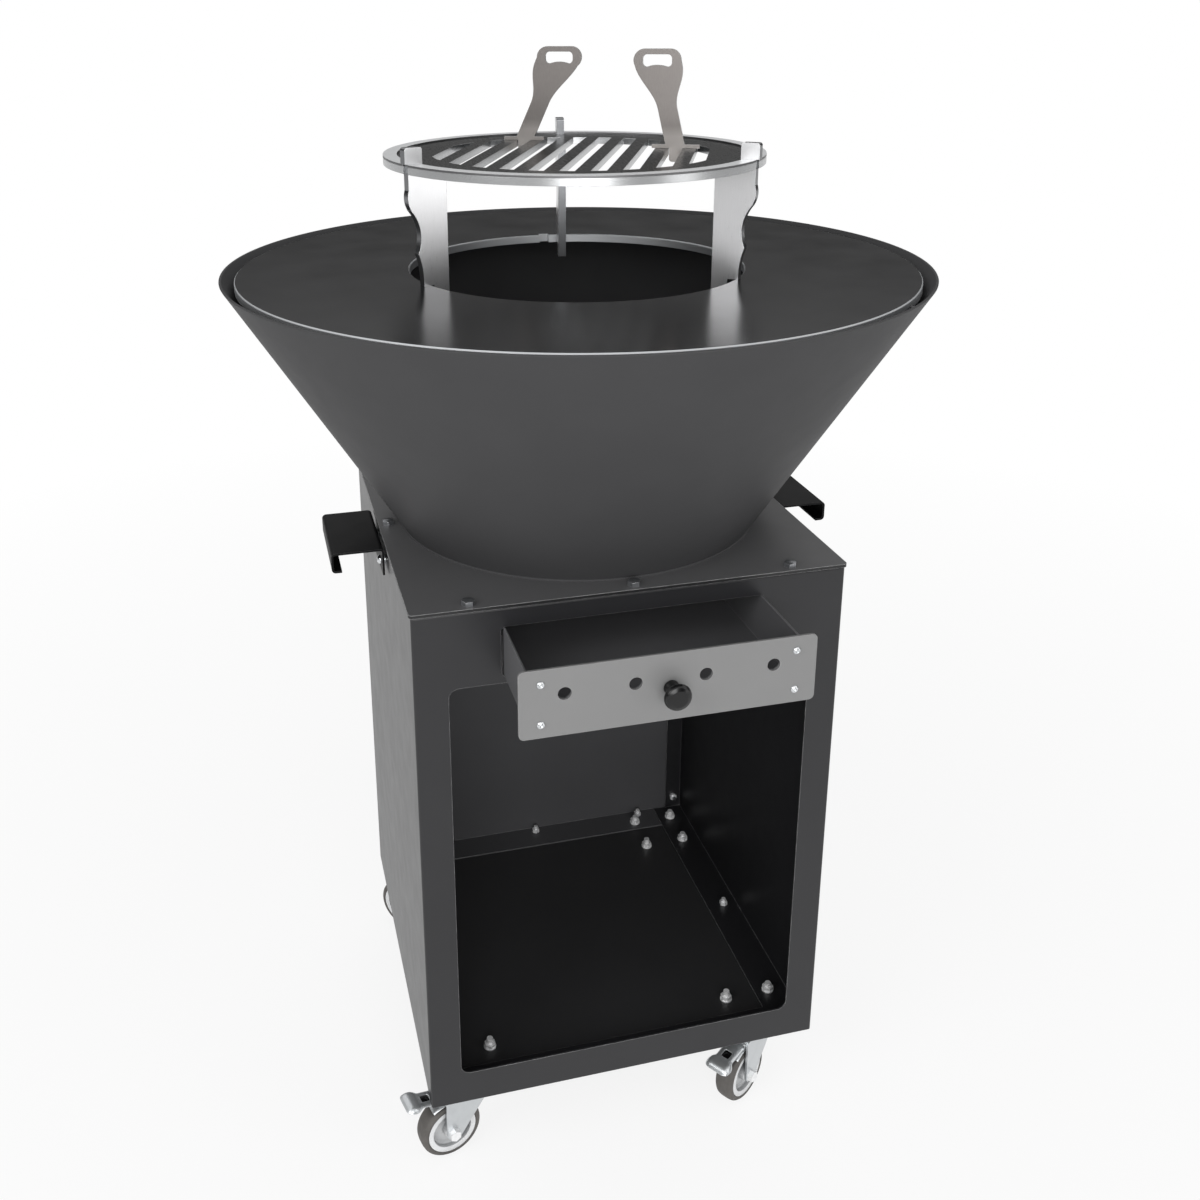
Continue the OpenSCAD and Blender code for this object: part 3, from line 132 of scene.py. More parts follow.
# %% From surfaces to a piece
def piece(name, parts, look, body, replaced=(), crisp=32, finish=None):
    """Builds one object from surfaces, in place, riding on a body of the frame."""
    start = np.cumsum([0] + [len(points) for points, _ in parts[:-1]])
    points = np.concatenate([points for points, _ in parts])
    quads = np.concatenate([quads + s for (_, quads), s in zip(parts, start)])
    mesh = bpy.data.meshes.new(name)
    mesh.from_pydata(points.tolist(), [], quads.tolist())
    work = bmesh.new()
    work.from_mesh(mesh)
    bmesh.ops.remove_doubles(work, verts=work.verts, dist=1e-6)
    bmesh.ops.dissolve_degenerate(work, edges=work.edges, dist=1e-7)
    bmesh.ops.recalc_face_normals(work, faces=work.faces)
    work.to_mesh(mesh)
    work.free()
    mesh.polygons.foreach_set("use_smooth", np.ones(len(mesh.polygons), bool))
    mesh.set_sharp_from_angle(angle=np.radians(crisp))
    mesh.materials.append(finish or looks[look])
    obj = bpy.data.objects.new(name, mesh)
    bpy.context.scene.collection.objects.link(obj)
    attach(obj, body)
    if replaced:
        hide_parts(*replaced)
    print(name, len(mesh.polygons), "faces")
    return obj


# %% [markdown]
# Colours are written as they look on a screen, in sRGB hex, and one function turns them to the
# linear numbers that light works in. One more function adds a shader node, sets its properties
# and sockets, and links what feeds it.

# %% Colours and nodes
def srgb(code):
    """sRGB hex to linear: c / 12.92 for dark values, ((c + 0.055) / 1.055) ^ 2.4 above."""
    c = np.array([int(code[i : i + 2], 16) for i in (1, 3, 5)]) / 255
    linear = np.where(c <= 0.04045, c / 12.92, ((c + 0.055) / 1.055) ** 2.4)
    return (*linear.tolist(), 1.0)


def add(tree, kind, settings=None, links=None):
    """One shader node: settings go to its properties or sockets, links feed its sockets."""
    node = tree.nodes.new("ShaderNode" + kind)
    for key, value in (settings or {}).items():
        if isinstance(key, str) and key in node.bl_rna.properties:
            setattr(node, key, value)
        else:
            node.inputs[key].default_value = value
    for key, source in (links or {}).items():
        tree.links.new(source, node.inputs[key])
    return node


def new_look(name):
    """An empty material with its shader and output, and the piece's own coordinates."""
    look = bpy.data.materials.new(name)
    look.use_nodes = True
    tree = look.node_tree
    tree.nodes.clear()
    shader = add(tree, "BsdfPrincipled")
    add(tree, "OutputMaterial", {}, {"Surface": shader.outputs["BSDF"]})
    return look, tree, shader, add(tree, "TexCoord").outputs["Object"]


def noise(tree, where, size, detail=3.0, rough=0.55):
    """Soft random pattern whose blobs are about the given size in metres."""
    sets = {"Scale": 1 / size, "Detail": detail, "Roughness": rough}
    return add(tree, "TexNoise", sets, {"Vector": where}).outputs["Fac"]


def ranged(tree, value, low, high, out_low, out_high):
    """Maps a value from one range to another, held inside the second."""
    sets = {"From Min": low, "From Max": high, "To Min": out_low, "To Max": out_high}
    return add(tree, "MapRange", sets, {"Value": value}).outputs["Result"]


def blend(tree, share, first, second):
    """Mixes two colours, each a hex code or the output of a node."""
    sets, links = {"data_type": "RGBA"}, {"Factor": share}
    for socket, colour in ((6, first), (7, second)):
        if isinstance(colour, str):
            sets[socket] = srgb(colour)
        else:
            links[socket] = colour
    return add(tree, "Mix", sets, links).outputs[2]


# %% [markdown]
# Sheet metal is never quite sharp. The Bevel node rounds the shading of each edge over a real
# radius, and the angle between that rounded normal and the true one tells where the edges are.
# The same mask lightens edges in the colour: partly wear, where coats are thin and steel is
# handled, and partly a painted highlight along each edge.

# %% Edges
def edges(tree, radius):
    """The rounded normal, and a mask that is 1 on edges and 0 on open faces."""
    round_normal = add(tree, "Bevel", {"samples": 4, "Radius": radius}).outputs["Normal"]
    true_normal = add(tree, "NewGeometry").outputs["Normal"]
    both = {0: round_normal, 1: true_normal}
    turn = add(tree, "VectorMath", {"operation": "DOT_PRODUCT"}, both).outputs["Value"]
    return round_normal, ranged(tree, turn, 0.995, 0.8, 0.0, 1.0)


def cut_faces(tree, across=(0, 0, 1)):
    """1 where the normal leaves the sheet's own direction, as on cut walls and bevels, else 0."""
    sets = {"operation": "DOT_PRODUCT", 1: tuple(across)}
    own_normal = add(tree, "TexCoord").outputs["Normal"]
    along = add(tree, "VectorMath", sets, {0: own_normal}).outputs["Value"]
    level = add(tree, "Math", {"operation": "ABSOLUTE"}, {0: along}).outputs[0]
    return ranged(tree, level, 0.8, 0.9, 1.0, 0.0)


def relief(tree, height, depth, strength, normal):
    """Bump of a real depth in metres on top of a normal."""
    sets = {"Strength": strength, "Distance": depth}
    return add(tree, "Bump", sets, {"Height": height, "Normal": normal}).outputs["Normal"]


# %% [markdown]
# Powder coat on sheet steel: polyester powder, sprayed dry and baked. It gives a satin skin with
# a faint orange peel, about a millimetre from crest to crest, and slow changes of tone where the
# coat is thicker. It is a plastic to light, so it isn't metallic and its IOR is 1.5.

# %% Powder coat
def powder_coat(name, dark, light, edge_tone, rough, gloss=0.5, wall=None):
    """Two close tones, orange peel of 1.2 mm, edges lighter as wear and as a painted highlight, and a thick
    plate's walls in a third.
    """
    look, tree, shader, where = new_look(name)
    tone = blend(tree, noise(tree, where, 0.09), dark, light)
    if wall:
        tone = blend(tree, cut_faces(tree), tone, wall)
    normal, edge = edges(tree, 0.9 * mm)
    # Edges are lightened in patches towards the edge tone: partly wear, partly a painted highlight.
    patchy = ranged(tree, noise(tree, where, 0.012), 0.3, 0.7, 0.4, 0.9)
    share = add(tree, "Math", {"operation": "MULTIPLY"}, {0: edge, 1: patchy}).outputs[0]
    join = tree.links.new
    join(blend(tree, share, tone, edge_tone), shader.inputs["Base Color"])
    spread = noise(tree, where, 0.03)
    join(ranged(tree, spread, 0.3, 0.7, rough - 0.02, rough + 0.02), shader.inputs["Roughness"])
    peel = noise(tree, where, 1.2 * mm, 1.0)
    join(relief(tree, peel, 0.06 * mm, 0.12, normal), shader.inputs["Normal"])
    shader.inputs["IOR"].default_value = 1.5
    shader.inputs["Specular IOR Level"].default_value = gloss
    return look


# %% [markdown]
# The hot plate is carbon steel, ground, oiled and burnt in. Hot oil leaves a dark skin that
# still shines like metal, so the legs show in it as long soft streaks. Bevels and the wall of the
# hole were cut after rolling. They are bare and bright, and rougher than the skin.

# %% Seasoned steel
def seasoned_steel(name):
    """Dark metal with clouds of 150 mm, stains of 20 mm and cuts left bright."""
    look, tree, shader, where = new_look(name)
    cloud = blend(tree, noise(tree, where, 0.15), "#303032", "#373739")
    stain = ranged(tree, noise(tree, where, 0.02, 6.0), 0.55, 0.8, 0.0, 0.3)
    normal, edge = edges(tree, 0.6 * mm)
    bare = add(tree, "Math", {"operation": "MAXIMUM"}, {0: edge, 1: cut_faces(tree)}).outputs[0]
    join = tree.links.new
    join(blend(tree, bare, blend(tree, stain, cloud, "#312e2c"), "#c4c6c8"), shader.inputs["Base Color"])
    shader.inputs["Metallic"].default_value = 1.0
    skin_rough = ranged(tree, noise(tree, where, 0.06, 4.0), 0.3, 0.7, 0.2, 0.24)
    cut_rough = ranged(tree, bare, 0.0, 1.0, 0.0, 0.5)
    rough = add(tree, "Math", {"operation": "MAXIMUM"}, {0: skin_rough, 1: cut_rough}).outputs[0]
    join(rough, shader.inputs["Roughness"])
    long_way = add(tree, "Mapping", {"Scale": (0.01, 1, 1)}, {"Vector": where}).outputs[0]
    grind = noise(tree, long_way, 0.4 * mm, 2.0)
    join(relief(tree, grind, 0.01 * mm, 0.04, normal), shader.inputs["Normal"])
    return look


# %% [markdown]
# Stainless steel, ground with a belt: fine scratches run one way, some deeper than others. On
# the grate the ground faces are painted dark, a painted reflection of dark surroundings, and the
# laser cut walls keep the steel's own bright tone. The lifters' lower ends are a little lighter,
# because they rub in the slots.

# %% Ground stainless steel
def ground_steel(name, dark, light, cut, rough, grain, across, foot=None):
    """Scratches 0.3 mm apart, long and thin; cuts, and a foot below a height, in other tones."""
    look, tree, shader, where = new_look(name)
    long_way = add(tree, "Mapping", {"Scale": grain}, {"Vector": where}).outputs[0]
    scratch = noise(tree, long_way, 0.3 * mm, 3.0)
    tone = blend(tree, ranged(tree, scratch, 0.3, 0.7, 0.0, 1.0), dark, light)
    cloud = ranged(tree, noise(tree, where, 0.03), 0.35, 0.7, 0.0, 0.3)
    normal, edge = edges(tree, 0.5 * mm)
    join = tree.links.new
    faces = blend(tree, cloud, tone, dark)
    if foot:
        height = add(tree, "SeparateXYZ", {}, {"Vector": where}).outputs["Z"]
        faces = blend(tree, ranged(tree, height, foot[0], foot[1], 1.0, 0.0), faces, foot[2])
    faces = blend(tree, cut_faces(tree, across), faces, cut)
    join(blend(tree, edge, faces, "#e6e7e8"), shader.inputs["Base Color"])
    shader.inputs["Metallic"].default_value = 1.0
    join(ranged(tree, scratch, 0.2, 0.8, rough - 0.04, rough + 0.04), shader.inputs["Roughness"])
    join(relief(tree, scratch, 0.015 * mm, 0.12, normal), shader.inputs["Normal"])
    return look


# %% [markdown]
# Zinc plate on bolts and casters: a thin bright coat with a bluish passivation, a little duller
# in places. On the axles and on the nuts and bolts inside it is painted near white and only
# partly metallic, a painted highlight that keeps them bright where little light reaches them.

# %% Zinc plate
def zinc_plate(name, dark, light, rough, metallic=1.0):
    """Slow changes of tone and gloss over 15 mm, and bright edges."""
    look, tree, shader, where = new_look(name)
    mottle = ranged(tree, noise(tree, where, 15 * mm, 2.0), 0.3, 0.7, 0.0, 1.0)
    normal, edge = edges(tree, 0.4 * mm)
    join = tree.links.new
    join(blend(tree, edge, blend(tree, mottle, dark, light), "#f2f3f4"), shader.inputs["Base Color"])
    shader.inputs["Metallic"].default_value = metallic
    join(ranged(tree, mottle, 0.0, 1.0, rough - 0.03, rough + 0.04), shader.inputs["Roughness"])
    join(normal, shader.inputs["Normal"])
    return look


# %% [markdown]
# Moulded pieces: the knob is phenolic, hard and glossy, the wheel centres are polypropylene with
# a fine spark eroded grain, and the tyres are grey thermoplastic rubber. In all of them the
# hollows are painted darker, a painted shade found by ambient occlusion.

# %% Moulded plastic and rubber
def moulded(name, hollow_shade, dark, light, rough, grain, depth, gloss=0.5):
    """Two close tones, painted shade in hollows, and a moulded grain of a real size."""
    look, tree, shader, where = new_look(name)
    join = tree.links.new
    tone = blend(tree, ranged(tree, noise(tree, where, 0.015), 0.3, 0.7, 0.0, 1.0), dark, light)
    # Painted shade: ambient occlusion blends the colour towards the hollow tone in recesses, such as the wheel's
    # web and the tread.
    open_sky = add(tree, "AmbientOcclusion", {"samples": 4, "Distance": 0.02}).outputs["AO"]
    unshaded = ranged(tree, open_sky, 0.35, 0.9, 0.0, 1.0)
    join(blend(tree, unshaded, hollow_shade, tone), shader.inputs["Base Color"])
    spread = noise(tree, where, 0.006)
    join(ranged(tree, spread, 0.3, 0.7, rough - 0.04, rough + 0.06), shader.inputs["Roughness"])
    normal, _ = edges(tree, 0.4 * mm)
    join(relief(tree, noise(tree, where, grain, 1.0), depth, 0.3, normal), shader.inputs["Normal"])
    shader.inputs["IOR"].default_value = 1.5
    shader.inputs["Specular IOR Level"].default_value = gloss
    return look


# %% [markdown]
# Each material slot of the frame gets its finish here, and a few nodes get one of their own. The
# lifters lean across the grate's slots and the legs stand round it, so the angles of both tell
# which of their faces are cut ones. A grain is the scale of the scratches along x, y and z.

# %% The finishes
along_slots = np.radians(66.3)
slot_way = (np.cos(along_slots), np.sin(along_slots), 0)
leg_turns = {"leg_left": 199.7, "leg_right": 319.7, "leg_back": 79.7}
grain_y, grain_z, grain_worn = (1, 0.02, 1), (1, 1, 0.02), (1, 1, 0.05)
looks = {
    "coat_dark": powder_coat("powder_coat_charcoal", "#212123", "#262628", "#c4c4c5", 0.37, 0.42),
    "coat_grey": powder_coat("powder_coat_grey", "#787878", "#7d7d7d", "#b4b4b4", 0.42),
    "coat_black": powder_coat("powder_coat_black", "#0b0b0c", "#0e0e0f", "#5a5a5b", 0.5, 0.12),
    "hot_steel": seasoned_steel("seasoned_carbon_steel"),
    # The grate's ground faces are painted dark, a painted reflection; its cut walls keep the bright tone of
    # stainless steel.
    "grate_steel": ground_steel(
        "ground_stainless_painted_dark", "#393939", "#494949", "#aeafb0", 0.28, grain_y, up
    ),
    "stainless": ground_steel("ground_stainless", "#dadadb", "#e6e6e7", "#8a8a8b", 0.3, grain_z, up),
    "zinc": zinc_plate("bright_zinc", "#c9ccce", "#dcdee0", 0.22),
    "bolt_dark": zinc_plate("dull_zinc", "#8a8c8f", "#96989b", 0.3, 0.85),
    "knob_black": moulded(
        "phenolic_black", "#060606", "#0a0a0b", "#0f0f10", 0.2, 0.8 * mm, 0.01 * mm, 0.4
    ),
    "caster_zinc": zinc_plate("pressed_zinc", "#c4c7c9", "#cccfd1", 0.32, 0.8),
    "tyre_grey": moulded("rubber_grey", "#2c2a28", "#4f4c49", "#5c5956", 0.6, 0.5 * mm, 0.04 * mm),
    "wheel_grey": moulded(
        "polypropylene_grey", "#77797b", "#d9dadb", "#e3e4e5", 0.38, 0.4 * mm, 0.01 * mm
    ),
}
bowl_look = powder_coat("heat_proof_paint", "#3f3f40", "#444445", "#7b7b7c", 0.55, 0.1)
# The base plate is the cabinet's charcoal coat painted lighter, a painted light on its top. Its walls are painted
# near black, a painted shadow in the gap at its edge, and its edges near white, a painted highlight.
plate_look = powder_coat("powder_coat_plate", "#585859", "#606061", "#f0f0f0", 0.42, 0.4, "#1e1e1f")
# The back panel is the same charcoal coat painted lighter, a painted light for the front light that falls on it
# inside the cabinet.
panel_look = powder_coat("powder_coat_inside", "#4a4a4c", "#505052", "#a0a0a1", 0.42, 0.45)
grate_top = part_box("grate_plate")[1].z
foot_from, foot_to = 14 * mm, 26 * mm
worn_foot = (grate_top + foot_from, grate_top + foot_to, "#8f8b88")
lifter_look = ground_steel(
    "tumbled_stainless", "#716d6b", "#7c7875", "#2f2e2d", 0.42, grain_worn, slot_way, worn_foot
)
own_looks = {"base_plate": plate_look, "lifter_left": lifter_look, "lifter_right": lifter_look}
own_looks["back_panel"] = panel_look
own_looks["drawer_box"] = powder_coat("powder_coat_tray", "#5c5c5e", "#646466", "#a8a8a9", 0.42, 0.45)
own_looks["grate_ring"] = ground_steel(
    "ground_ring", "#c4c5c6", "#d0d1d2", "#707071", 0.45, grain_z, up
)
# Near-white, partly metallic zinc: a painted highlight on the nuts and bolts inside and on the axles.
zinc_painted_bright = zinc_plate("zinc_painted_bright", "#f0f1f2", "#fafafa", 0.4, 0.35)
bright_painted_nodes = ["back_panel_nuts", "floor_nuts", "floor_bolts", "drawer_nuts", "knob_nut"]
bright_painted_nodes += ["caster_nuts", "caster_bolts"] + ["axle_" + key for key in caster_keys]
for node in bright_painted_nodes:
    own_looks[node] = zinc_painted_bright
own_looks["floor_panel"] = powder_coat("powder_coat_floor", "#2e2e2f", "#333334", "#9a9a9b", 0.4, 0.4)
for leg, degrees in leg_turns.items():
    aside = (-np.sin(np.radians(degrees)), np.cos(np.radians(degrees)), 0)
    leg_tones = ("#e1e1e2", "#eaeaeb", "#77787a")
    own_looks[leg] = ground_steel("ground_" + leg, *leg_tones, 0.3, grain_z, aside)
for node, obj in frame["nodes"].items():
    obj.data.materials.clear()
    obj.data.materials.append(own_looks.get(node, looks[slots_of[node]]))
print("finishes:", len(bpy.data.materials))

# %% [markdown]
# The fire bowl is a cone rolled from 3 mm sheet, which is 3.5 mm wide on the level because it
# slopes. Its rim is only deburred, so it catches a thin line of light. It is made as one closed
# profile carried round the axis, fine enough that the long outline of the rim has no corners.

# %% Fire bowl
bowl_low, bowl_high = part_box("fire_bowl")
bowl_foot = 222.6 * mm
bowl_sheet = 3.5 * mm
rim_round = 1.2 * mm
bowl_steps = 540
bowl_profile = soften(
    [
        (bowl_foot - bowl_sheet, bowl_low.z),
        (bowl_foot, bowl_low.z),
        (bowl_high.x, bowl_high.z),
        (bowl_high.x - bowl_sheet, bowl_high.z),
    ],
    [0, 0, rim_round, rim_round],
)
bowl_parts = [turned(bowl_profile, bowl_steps, closed=True)]
piece("bowl_cone", bowl_parts, "coat_dark", "cabinet", ["fire_bowl"], 50, bowl_look)

# %% [markdown]
# The cone is welded to the base plate all round. A weld bead is a row of small frozen waves, so
# the tube's thickness rises and falls along its length, one wave every few millimetres.

# %% Weld at the bowl's foot
def weld(radius, height, thick, wave):
    """Tube round the axis: thickness t (0.9 + 0.1 cos(2 pi arc / wave + bow)), bowed like scales."""
    turn = full_turn(1400)[:, None]
    section = full_turn(12)[None, :]
    scale = np.cos(turn * radius / wave * 2 * np.pi + 1.5 * np.cos(section))
    t = thick * (0.9 + 0.1 * scale)
    return skin(around(radius + t * np.cos(section), turn, height + t * np.sin(section)), True, True)


weld_thick, weld_wave = 2.6 * mm, 3.6 * mm
bead = weld(bowl_foot, bowl_low.z, weld_thick, weld_wave)
piece("bowl_weld", [bead], "coat_dark", "cabinet", (), 80, bowl_look)

# %% [markdown]
# The hot plate is a 10 mm ring with a bevel at its top edges and one notch in the hole. The hole
# is followed point by point, with the notch's two sides, and the plate's section is stretched
# from there to the outer edge.

# %% Hot plate
plate_low, plate_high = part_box("hot_plate")
hole_r = 199 * mm
notch_half, notch_deep, notch_turn = 6 * mm, 8 * mm, np.radians(87)
bevel = 1.2 * mm


def ring_plate(steps=720):
    """The section runs up the hole's wall, over the top with its two bevels, and back underneath."""
    half = np.arcsin(notch_half / hole_r)
    turn = np.linspace(half, 2 * np.pi - half, steps)
    turn = np.concatenate([turn[:1], turn, turn[-1:], np.linspace(-half, half, 5)[1:-1]]) + notch_turn
    hole = np.full(len(turn), hole_r)
    in_notch = [0, -4, -3, -2, -1]
    hole[in_notch] += notch_deep
    rim = np.full(len(turn), plate_high.x)
    low, high = plate_low.z, plate_high.z
    inner = [(hole, low), (hole, high - bevel), (hole + bevel, high)]
    outer = [(rim - bevel, high), (rim, high - bevel), (rim, low)]
    columns = [around(r, turn, z) for r, z in inner + outer]
    return skin(np.stack(columns, 1), True, True)


piece("hot_ring", [ring_plate()], "hot_steel", "hot_plate", ["hot_plate"], 20)

# %% [markdown]
# Bolts and nuts are hexagons whose corners are turned off by a cone of 30 degrees, which leaves
# the arcs that every real bolt head has. The distance from the axis to a hexagon's side is half
# the width across flats divided by the cosine of the angle from the nearest flat.

# %% Hexagons and threads
def hexagon(flats, high, bore=0.0, steps=96):
    """Head or nut: each column of the grid is lowered by (radius - face) tan 30 at the top."""
    turn = full_turn(steps)
    side = flats / 2 / np.cos((turn + np.pi / 6) % (np.pi / 3) - np.pi / 6)
    face = flats * 0.47
    top = high - (side - face) * np.tan(np.pi / 6)
    flat = 0 * turn
    side_wall = [(flat + bore, flat), (side, flat), (side, top)]
    end_face = [(flat + face, flat + high), (flat + bore, flat + high)]
    columns = [around(r, turn, z) for r, z in side_wall + end_face]
    return skin(np.stack(columns, 1), wrap_u=True, wrap_v=bore > 0)


def thread(width, pitch, high, steps=24):
    """Helix: the radius dips by 0.3 pitch once a turn, in a wave of height / pitch - turn."""
    turn = full_turn(steps)[:, None]
    z = np.linspace(0, high, int(high / pitch * 5) + 2)[None, :]
    wave = np.abs((z / pitch - turn / (2 * np.pi)) % 1 - 0.5) * 2
    end = np.clip((high - z) / pitch, 0, 1)
    r = width / 2 - 0.3 * pitch * wave - 0.4 * pitch * (1 - end)
    r = np.concatenate([0 * turn, r, 0 * turn], 1)
    z = np.concatenate([z[:, :1], z, z[:, -1:]], 1)
    return skin(around(r, turn, z), wrap_u=True)


# %% [markdown]
# Eight M8 bolts hold the bowl's plate to the cabinet. Their flats lie along the nearest edge.

# %% Bolts on the base plate
bolt_low, bolt_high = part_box("base_bolts_hex")
bolt_flats, bolt_row, bolt_width, bolt_pitch = 13 * mm, 186 * mm, 8 * mm, 1.25 * mm
base_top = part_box("base_plate")[1].z
bolt_out = bolt_high.x - bolt_flats / 2
bolt_places = [(x, y) for y in (-bolt_out, bolt_out) for x in (-bolt_row, 0, bolt_row)]
bolt_places += [(-bolt_out, 0), (bolt_out, 0)]
bolt_parts = []
for x, y in bolt_places:
    across = [ahead, -right, up] if abs(x) < bolt_out else np.eye(3)
    bolt_parts.append(moved(hexagon(bolt_flats, bolt_high.z - base_top), (x, y, base_top), across))
    shank = thread(bolt_width, bolt_pitch, base_top - bolt_low.z)
    bolt_parts.append(moved(shank, (x, y, base_top), over))
piece("base_bolts", bolt_parts, "bolt_dark", "cabinet", ["base_bolts_hex"])

# %% [markdown]
# The drawer's front has a mushroom knob of black phenolic and four round headed screws with a
# hexagon socket. Both are turned shapes, apart from the six sides of that socket.

# %% Drawer knob
knob_low, knob_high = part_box("drawer_knob")
front_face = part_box("drawer_front")[0].y
knob_long = front_face - knob_low.y
knob_r = knob_high.x
facing = [right, up, -ahead]
knob_profile = soften(
    [
        (0, 0),
        (8.5 * mm, 0),
        (8.2 * mm, 3 * mm),
        (6.4 * mm, 7 * mm),
        (6.8 * mm, knob_long - 11 * mm),
        (knob_r - 2 * mm, knob_long - 8.5 * mm),
        (knob_r, knob_long - 6 * mm),
        (knob_r - 1.6 * mm, knob_long - 1.8 * mm),
        (knob_r * 0.6, knob_long),
        (0, knob_long),
    ],
    [0, 0.6 * mm, 1.5 * mm, 3 * mm, 2 * mm, 2 * mm, 2.4 * mm, 3 * mm, 5 * mm, 0],
)
knob_at = (0, front_face, (knob_low.z + knob_high.z) / 2)
stud_width, stud_pitch = 5 * mm, 0.8 * mm
stud = thread(stud_width, stud_pitch, knob_high.y - front_face)
knob_parts = [moved(turned(knob_profile, 96), knob_at, facing), moved(stud, knob_at, [right, -up, ahead])]
piece("knob", knob_parts, "knob_black", "drawer", ["drawer_knob"], 60)


# %% Round headed screws
def button(wide, high, socket, deep, reach, pitch):
    """Domed head with a socket of six sides, and its threaded shank behind it."""
    turn = full_turn(72)[:, None]
    dome_end = np.pi / 2 * 0.72
    s = np.linspace(0, 1, 9)[None, :]
    dome_r = wide / 2 * np.cos(s * dome_end)
    dome_z = high * np.sin(s * dome_end) / np.sin(dome_end)
    side = socket / 2 / np.cos((turn + np.pi / 6) % (np.pi / 3) - np.pi / 6)
    r = np.concatenate([0 * turn, dome_r + 0 * turn, side, side, 0 * turn], 1)
    rim = [np.zeros((1, 1)), dome_z, [[high]], [[high - deep]], [[high - deep]]]
    z = np.concatenate([np.asarray(c) + 0 * turn for c in rim], 1)
    shank_width = socket * 5 / 3
    shank = moved(thread(shank_width, pitch, reach), (0, 0, 0), over)
    return [skin(around(r, turn, z), wrap_u=True), shank]


screw_low, screw_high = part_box("drawer_screws")
screw_wide = 9 * mm
screw_socket, screw_socket_deep, screw_pitch = 3 * mm, 1.4 * mm, 0.8 * mm
head_out, screw_long = front_face - screw_low.y, screw_high.y - front_face
screw = button(screw_wide, head_out, screw_socket, screw_socket_deep, screw_long, screw_pitch)
screw_parts = []
for x in (screw_low.x + screw_wide / 2, screw_high.x - screw_wide / 2):
    for z in (screw_low.z + screw_wide / 2, screw_high.z - screw_wide / 2):
        screw_parts += [moved(part, (x, front_face, z), facing) for part in screw]
piece("front_screws", screw_parts, "zinc", "drawer", ["drawer_screws"])

grip_low, grip_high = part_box("handle_screws")
flange_thick = 2.5 * mm
flange_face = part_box("handle_right")[0].x + flange_thick
grip_wide, grip_past = 11 * mm, 20 * mm
grip_socket, grip_socket_deep, grip_pitch = 3.6 * mm, 1.8 * mm, 1 * mm
grip_out = grip_high.x - flange_face
grip_long = flange_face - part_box("handle_nuts")[1].x + grip_past
grip_screw = button(grip_wide, grip_out, grip_socket, grip_socket_deep, grip_long, grip_pitch)
grip_parts = []
for side in (-1, 1):
    outward = [ahead * side, up, right * side]
    for y in (grip_low.y + grip_wide / 2, grip_high.y - grip_wide / 2):
        place = (side * flange_face, y, (grip_low.z + grip_high.z) / 2)
        grip_parts += [moved(part, place, outward) for part in grip_screw]
piece("grip_screws", grip_parts, "zinc", "cabinet", ["handle_screws"])

# %% [markdown]
# Casters. Each one is worked out in its own space: x runs from the swivel axis to the axle, y
# along the axle, and z up from the floor. The joints of the frame say where that space lies.

# %% Caster spaces
wheel_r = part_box("tyre_fl")[1].z / 2


def caster_space(key):
    """Origin on the floor under the swivel axis, and the three axes as rows."""
    swivel, spin = joints["swivel_" + key], joints["spin_" + key]
    y = np.array(spin["axis"])
    origin = np.array(swivel["pos_m"]) * (1, 1, 0)
    return origin, np.array([np.cross(y, up), y, up])


trail = float(np.hypot(*(np.subtract(joints["spin_fl"]["pos_m"], joints["swivel_fl"]["pos_m"])[:2])))
print("caster trail", round(trail / mm, 1), "mm, wheel radius", round(wheel_r / mm, 1), "mm")


# %% Tyres and wheel centres
def about_axle(profile, steps, closed=True):
    """A profile of radius and offset, turned about the axle in a caster's space."""
    points, quads = turned(profile, steps, closed)
    return points[:, [0, 2, 1]] + (trail, 0, wheel_r), quads


def two_sided(half, steps):
    """Soft section from one side's corners (radius, half width, rounding) and their mirror images."""
    corners = [(r, -y) for r, y, _ in half] + [(r, y) for r, y, _ in half[::-1]]
    rounding = [c for _, _, c in half + half[::-1]]
    return soften(corners, rounding, steps)


tyre_half, tyre_inner = 13 * mm, 32 * mm
half_tyre = [
    (tyre_inner, 11.9 * mm, 0),
    (tyre_inner + 0.8 * mm, 12.6 * mm, 0.5 * mm),
    (35.5 * mm, tyre_half, 3 * mm),
    (wheel_r - 0.8 * mm, 9.5 * mm, 5 * mm),
    (wheel_r, 4 * mm, 8 * mm),
]
half_wheel = [
    (4.05 * mm, 14.3 * mm, 0),
    (9.2 * mm, 14.3 * mm, 0.4 * mm),
    (10.0 * mm, 13.5 * mm, 0.6 * mm),
    (11.2 * mm, 5.0 * mm, 1.8 * mm),
    (22.6 * mm, 4.2 * mm, 2.2 * mm),
    (25.0 * mm, 6.5 * mm, 1.2 * mm),
    (25.2 * mm, 12.2 * mm, 1.0 * mm),
    (31.9 * mm, 12.2 * mm, 0),
]
tyre_profile = two_sided(half_tyre, 7)
wheel_profile = two_sided(half_wheel, 5)
for key in caster_keys:
    origin, axes = caster_space(key)
    tyre = moved(about_axle(tyre_profile, 128), origin, axes)
    piece("tread_" + key, [tyre], "tyre_grey", "wheel_" + key, ["tyre_" + key], 60)
    core = moved(about_axle(wheel_profile, 96), origin, axes)
    piece("core_" + key, [core], "wheel_grey", "wheel_" + key, ["wheel_" + key], 40)

# %% [markdown]
# Brake pedals. Each is one strip of sheet steel, pressed in a die: its edges are turned down all
# round, the outer end is wide enough for a foot, and a window saves weight. The sheet's upper
# face is a grid of stations along the lever and steps across it. A Solidify modifier gives it
# its thickness and a Subdivision Surface the soft bends of a pressing.

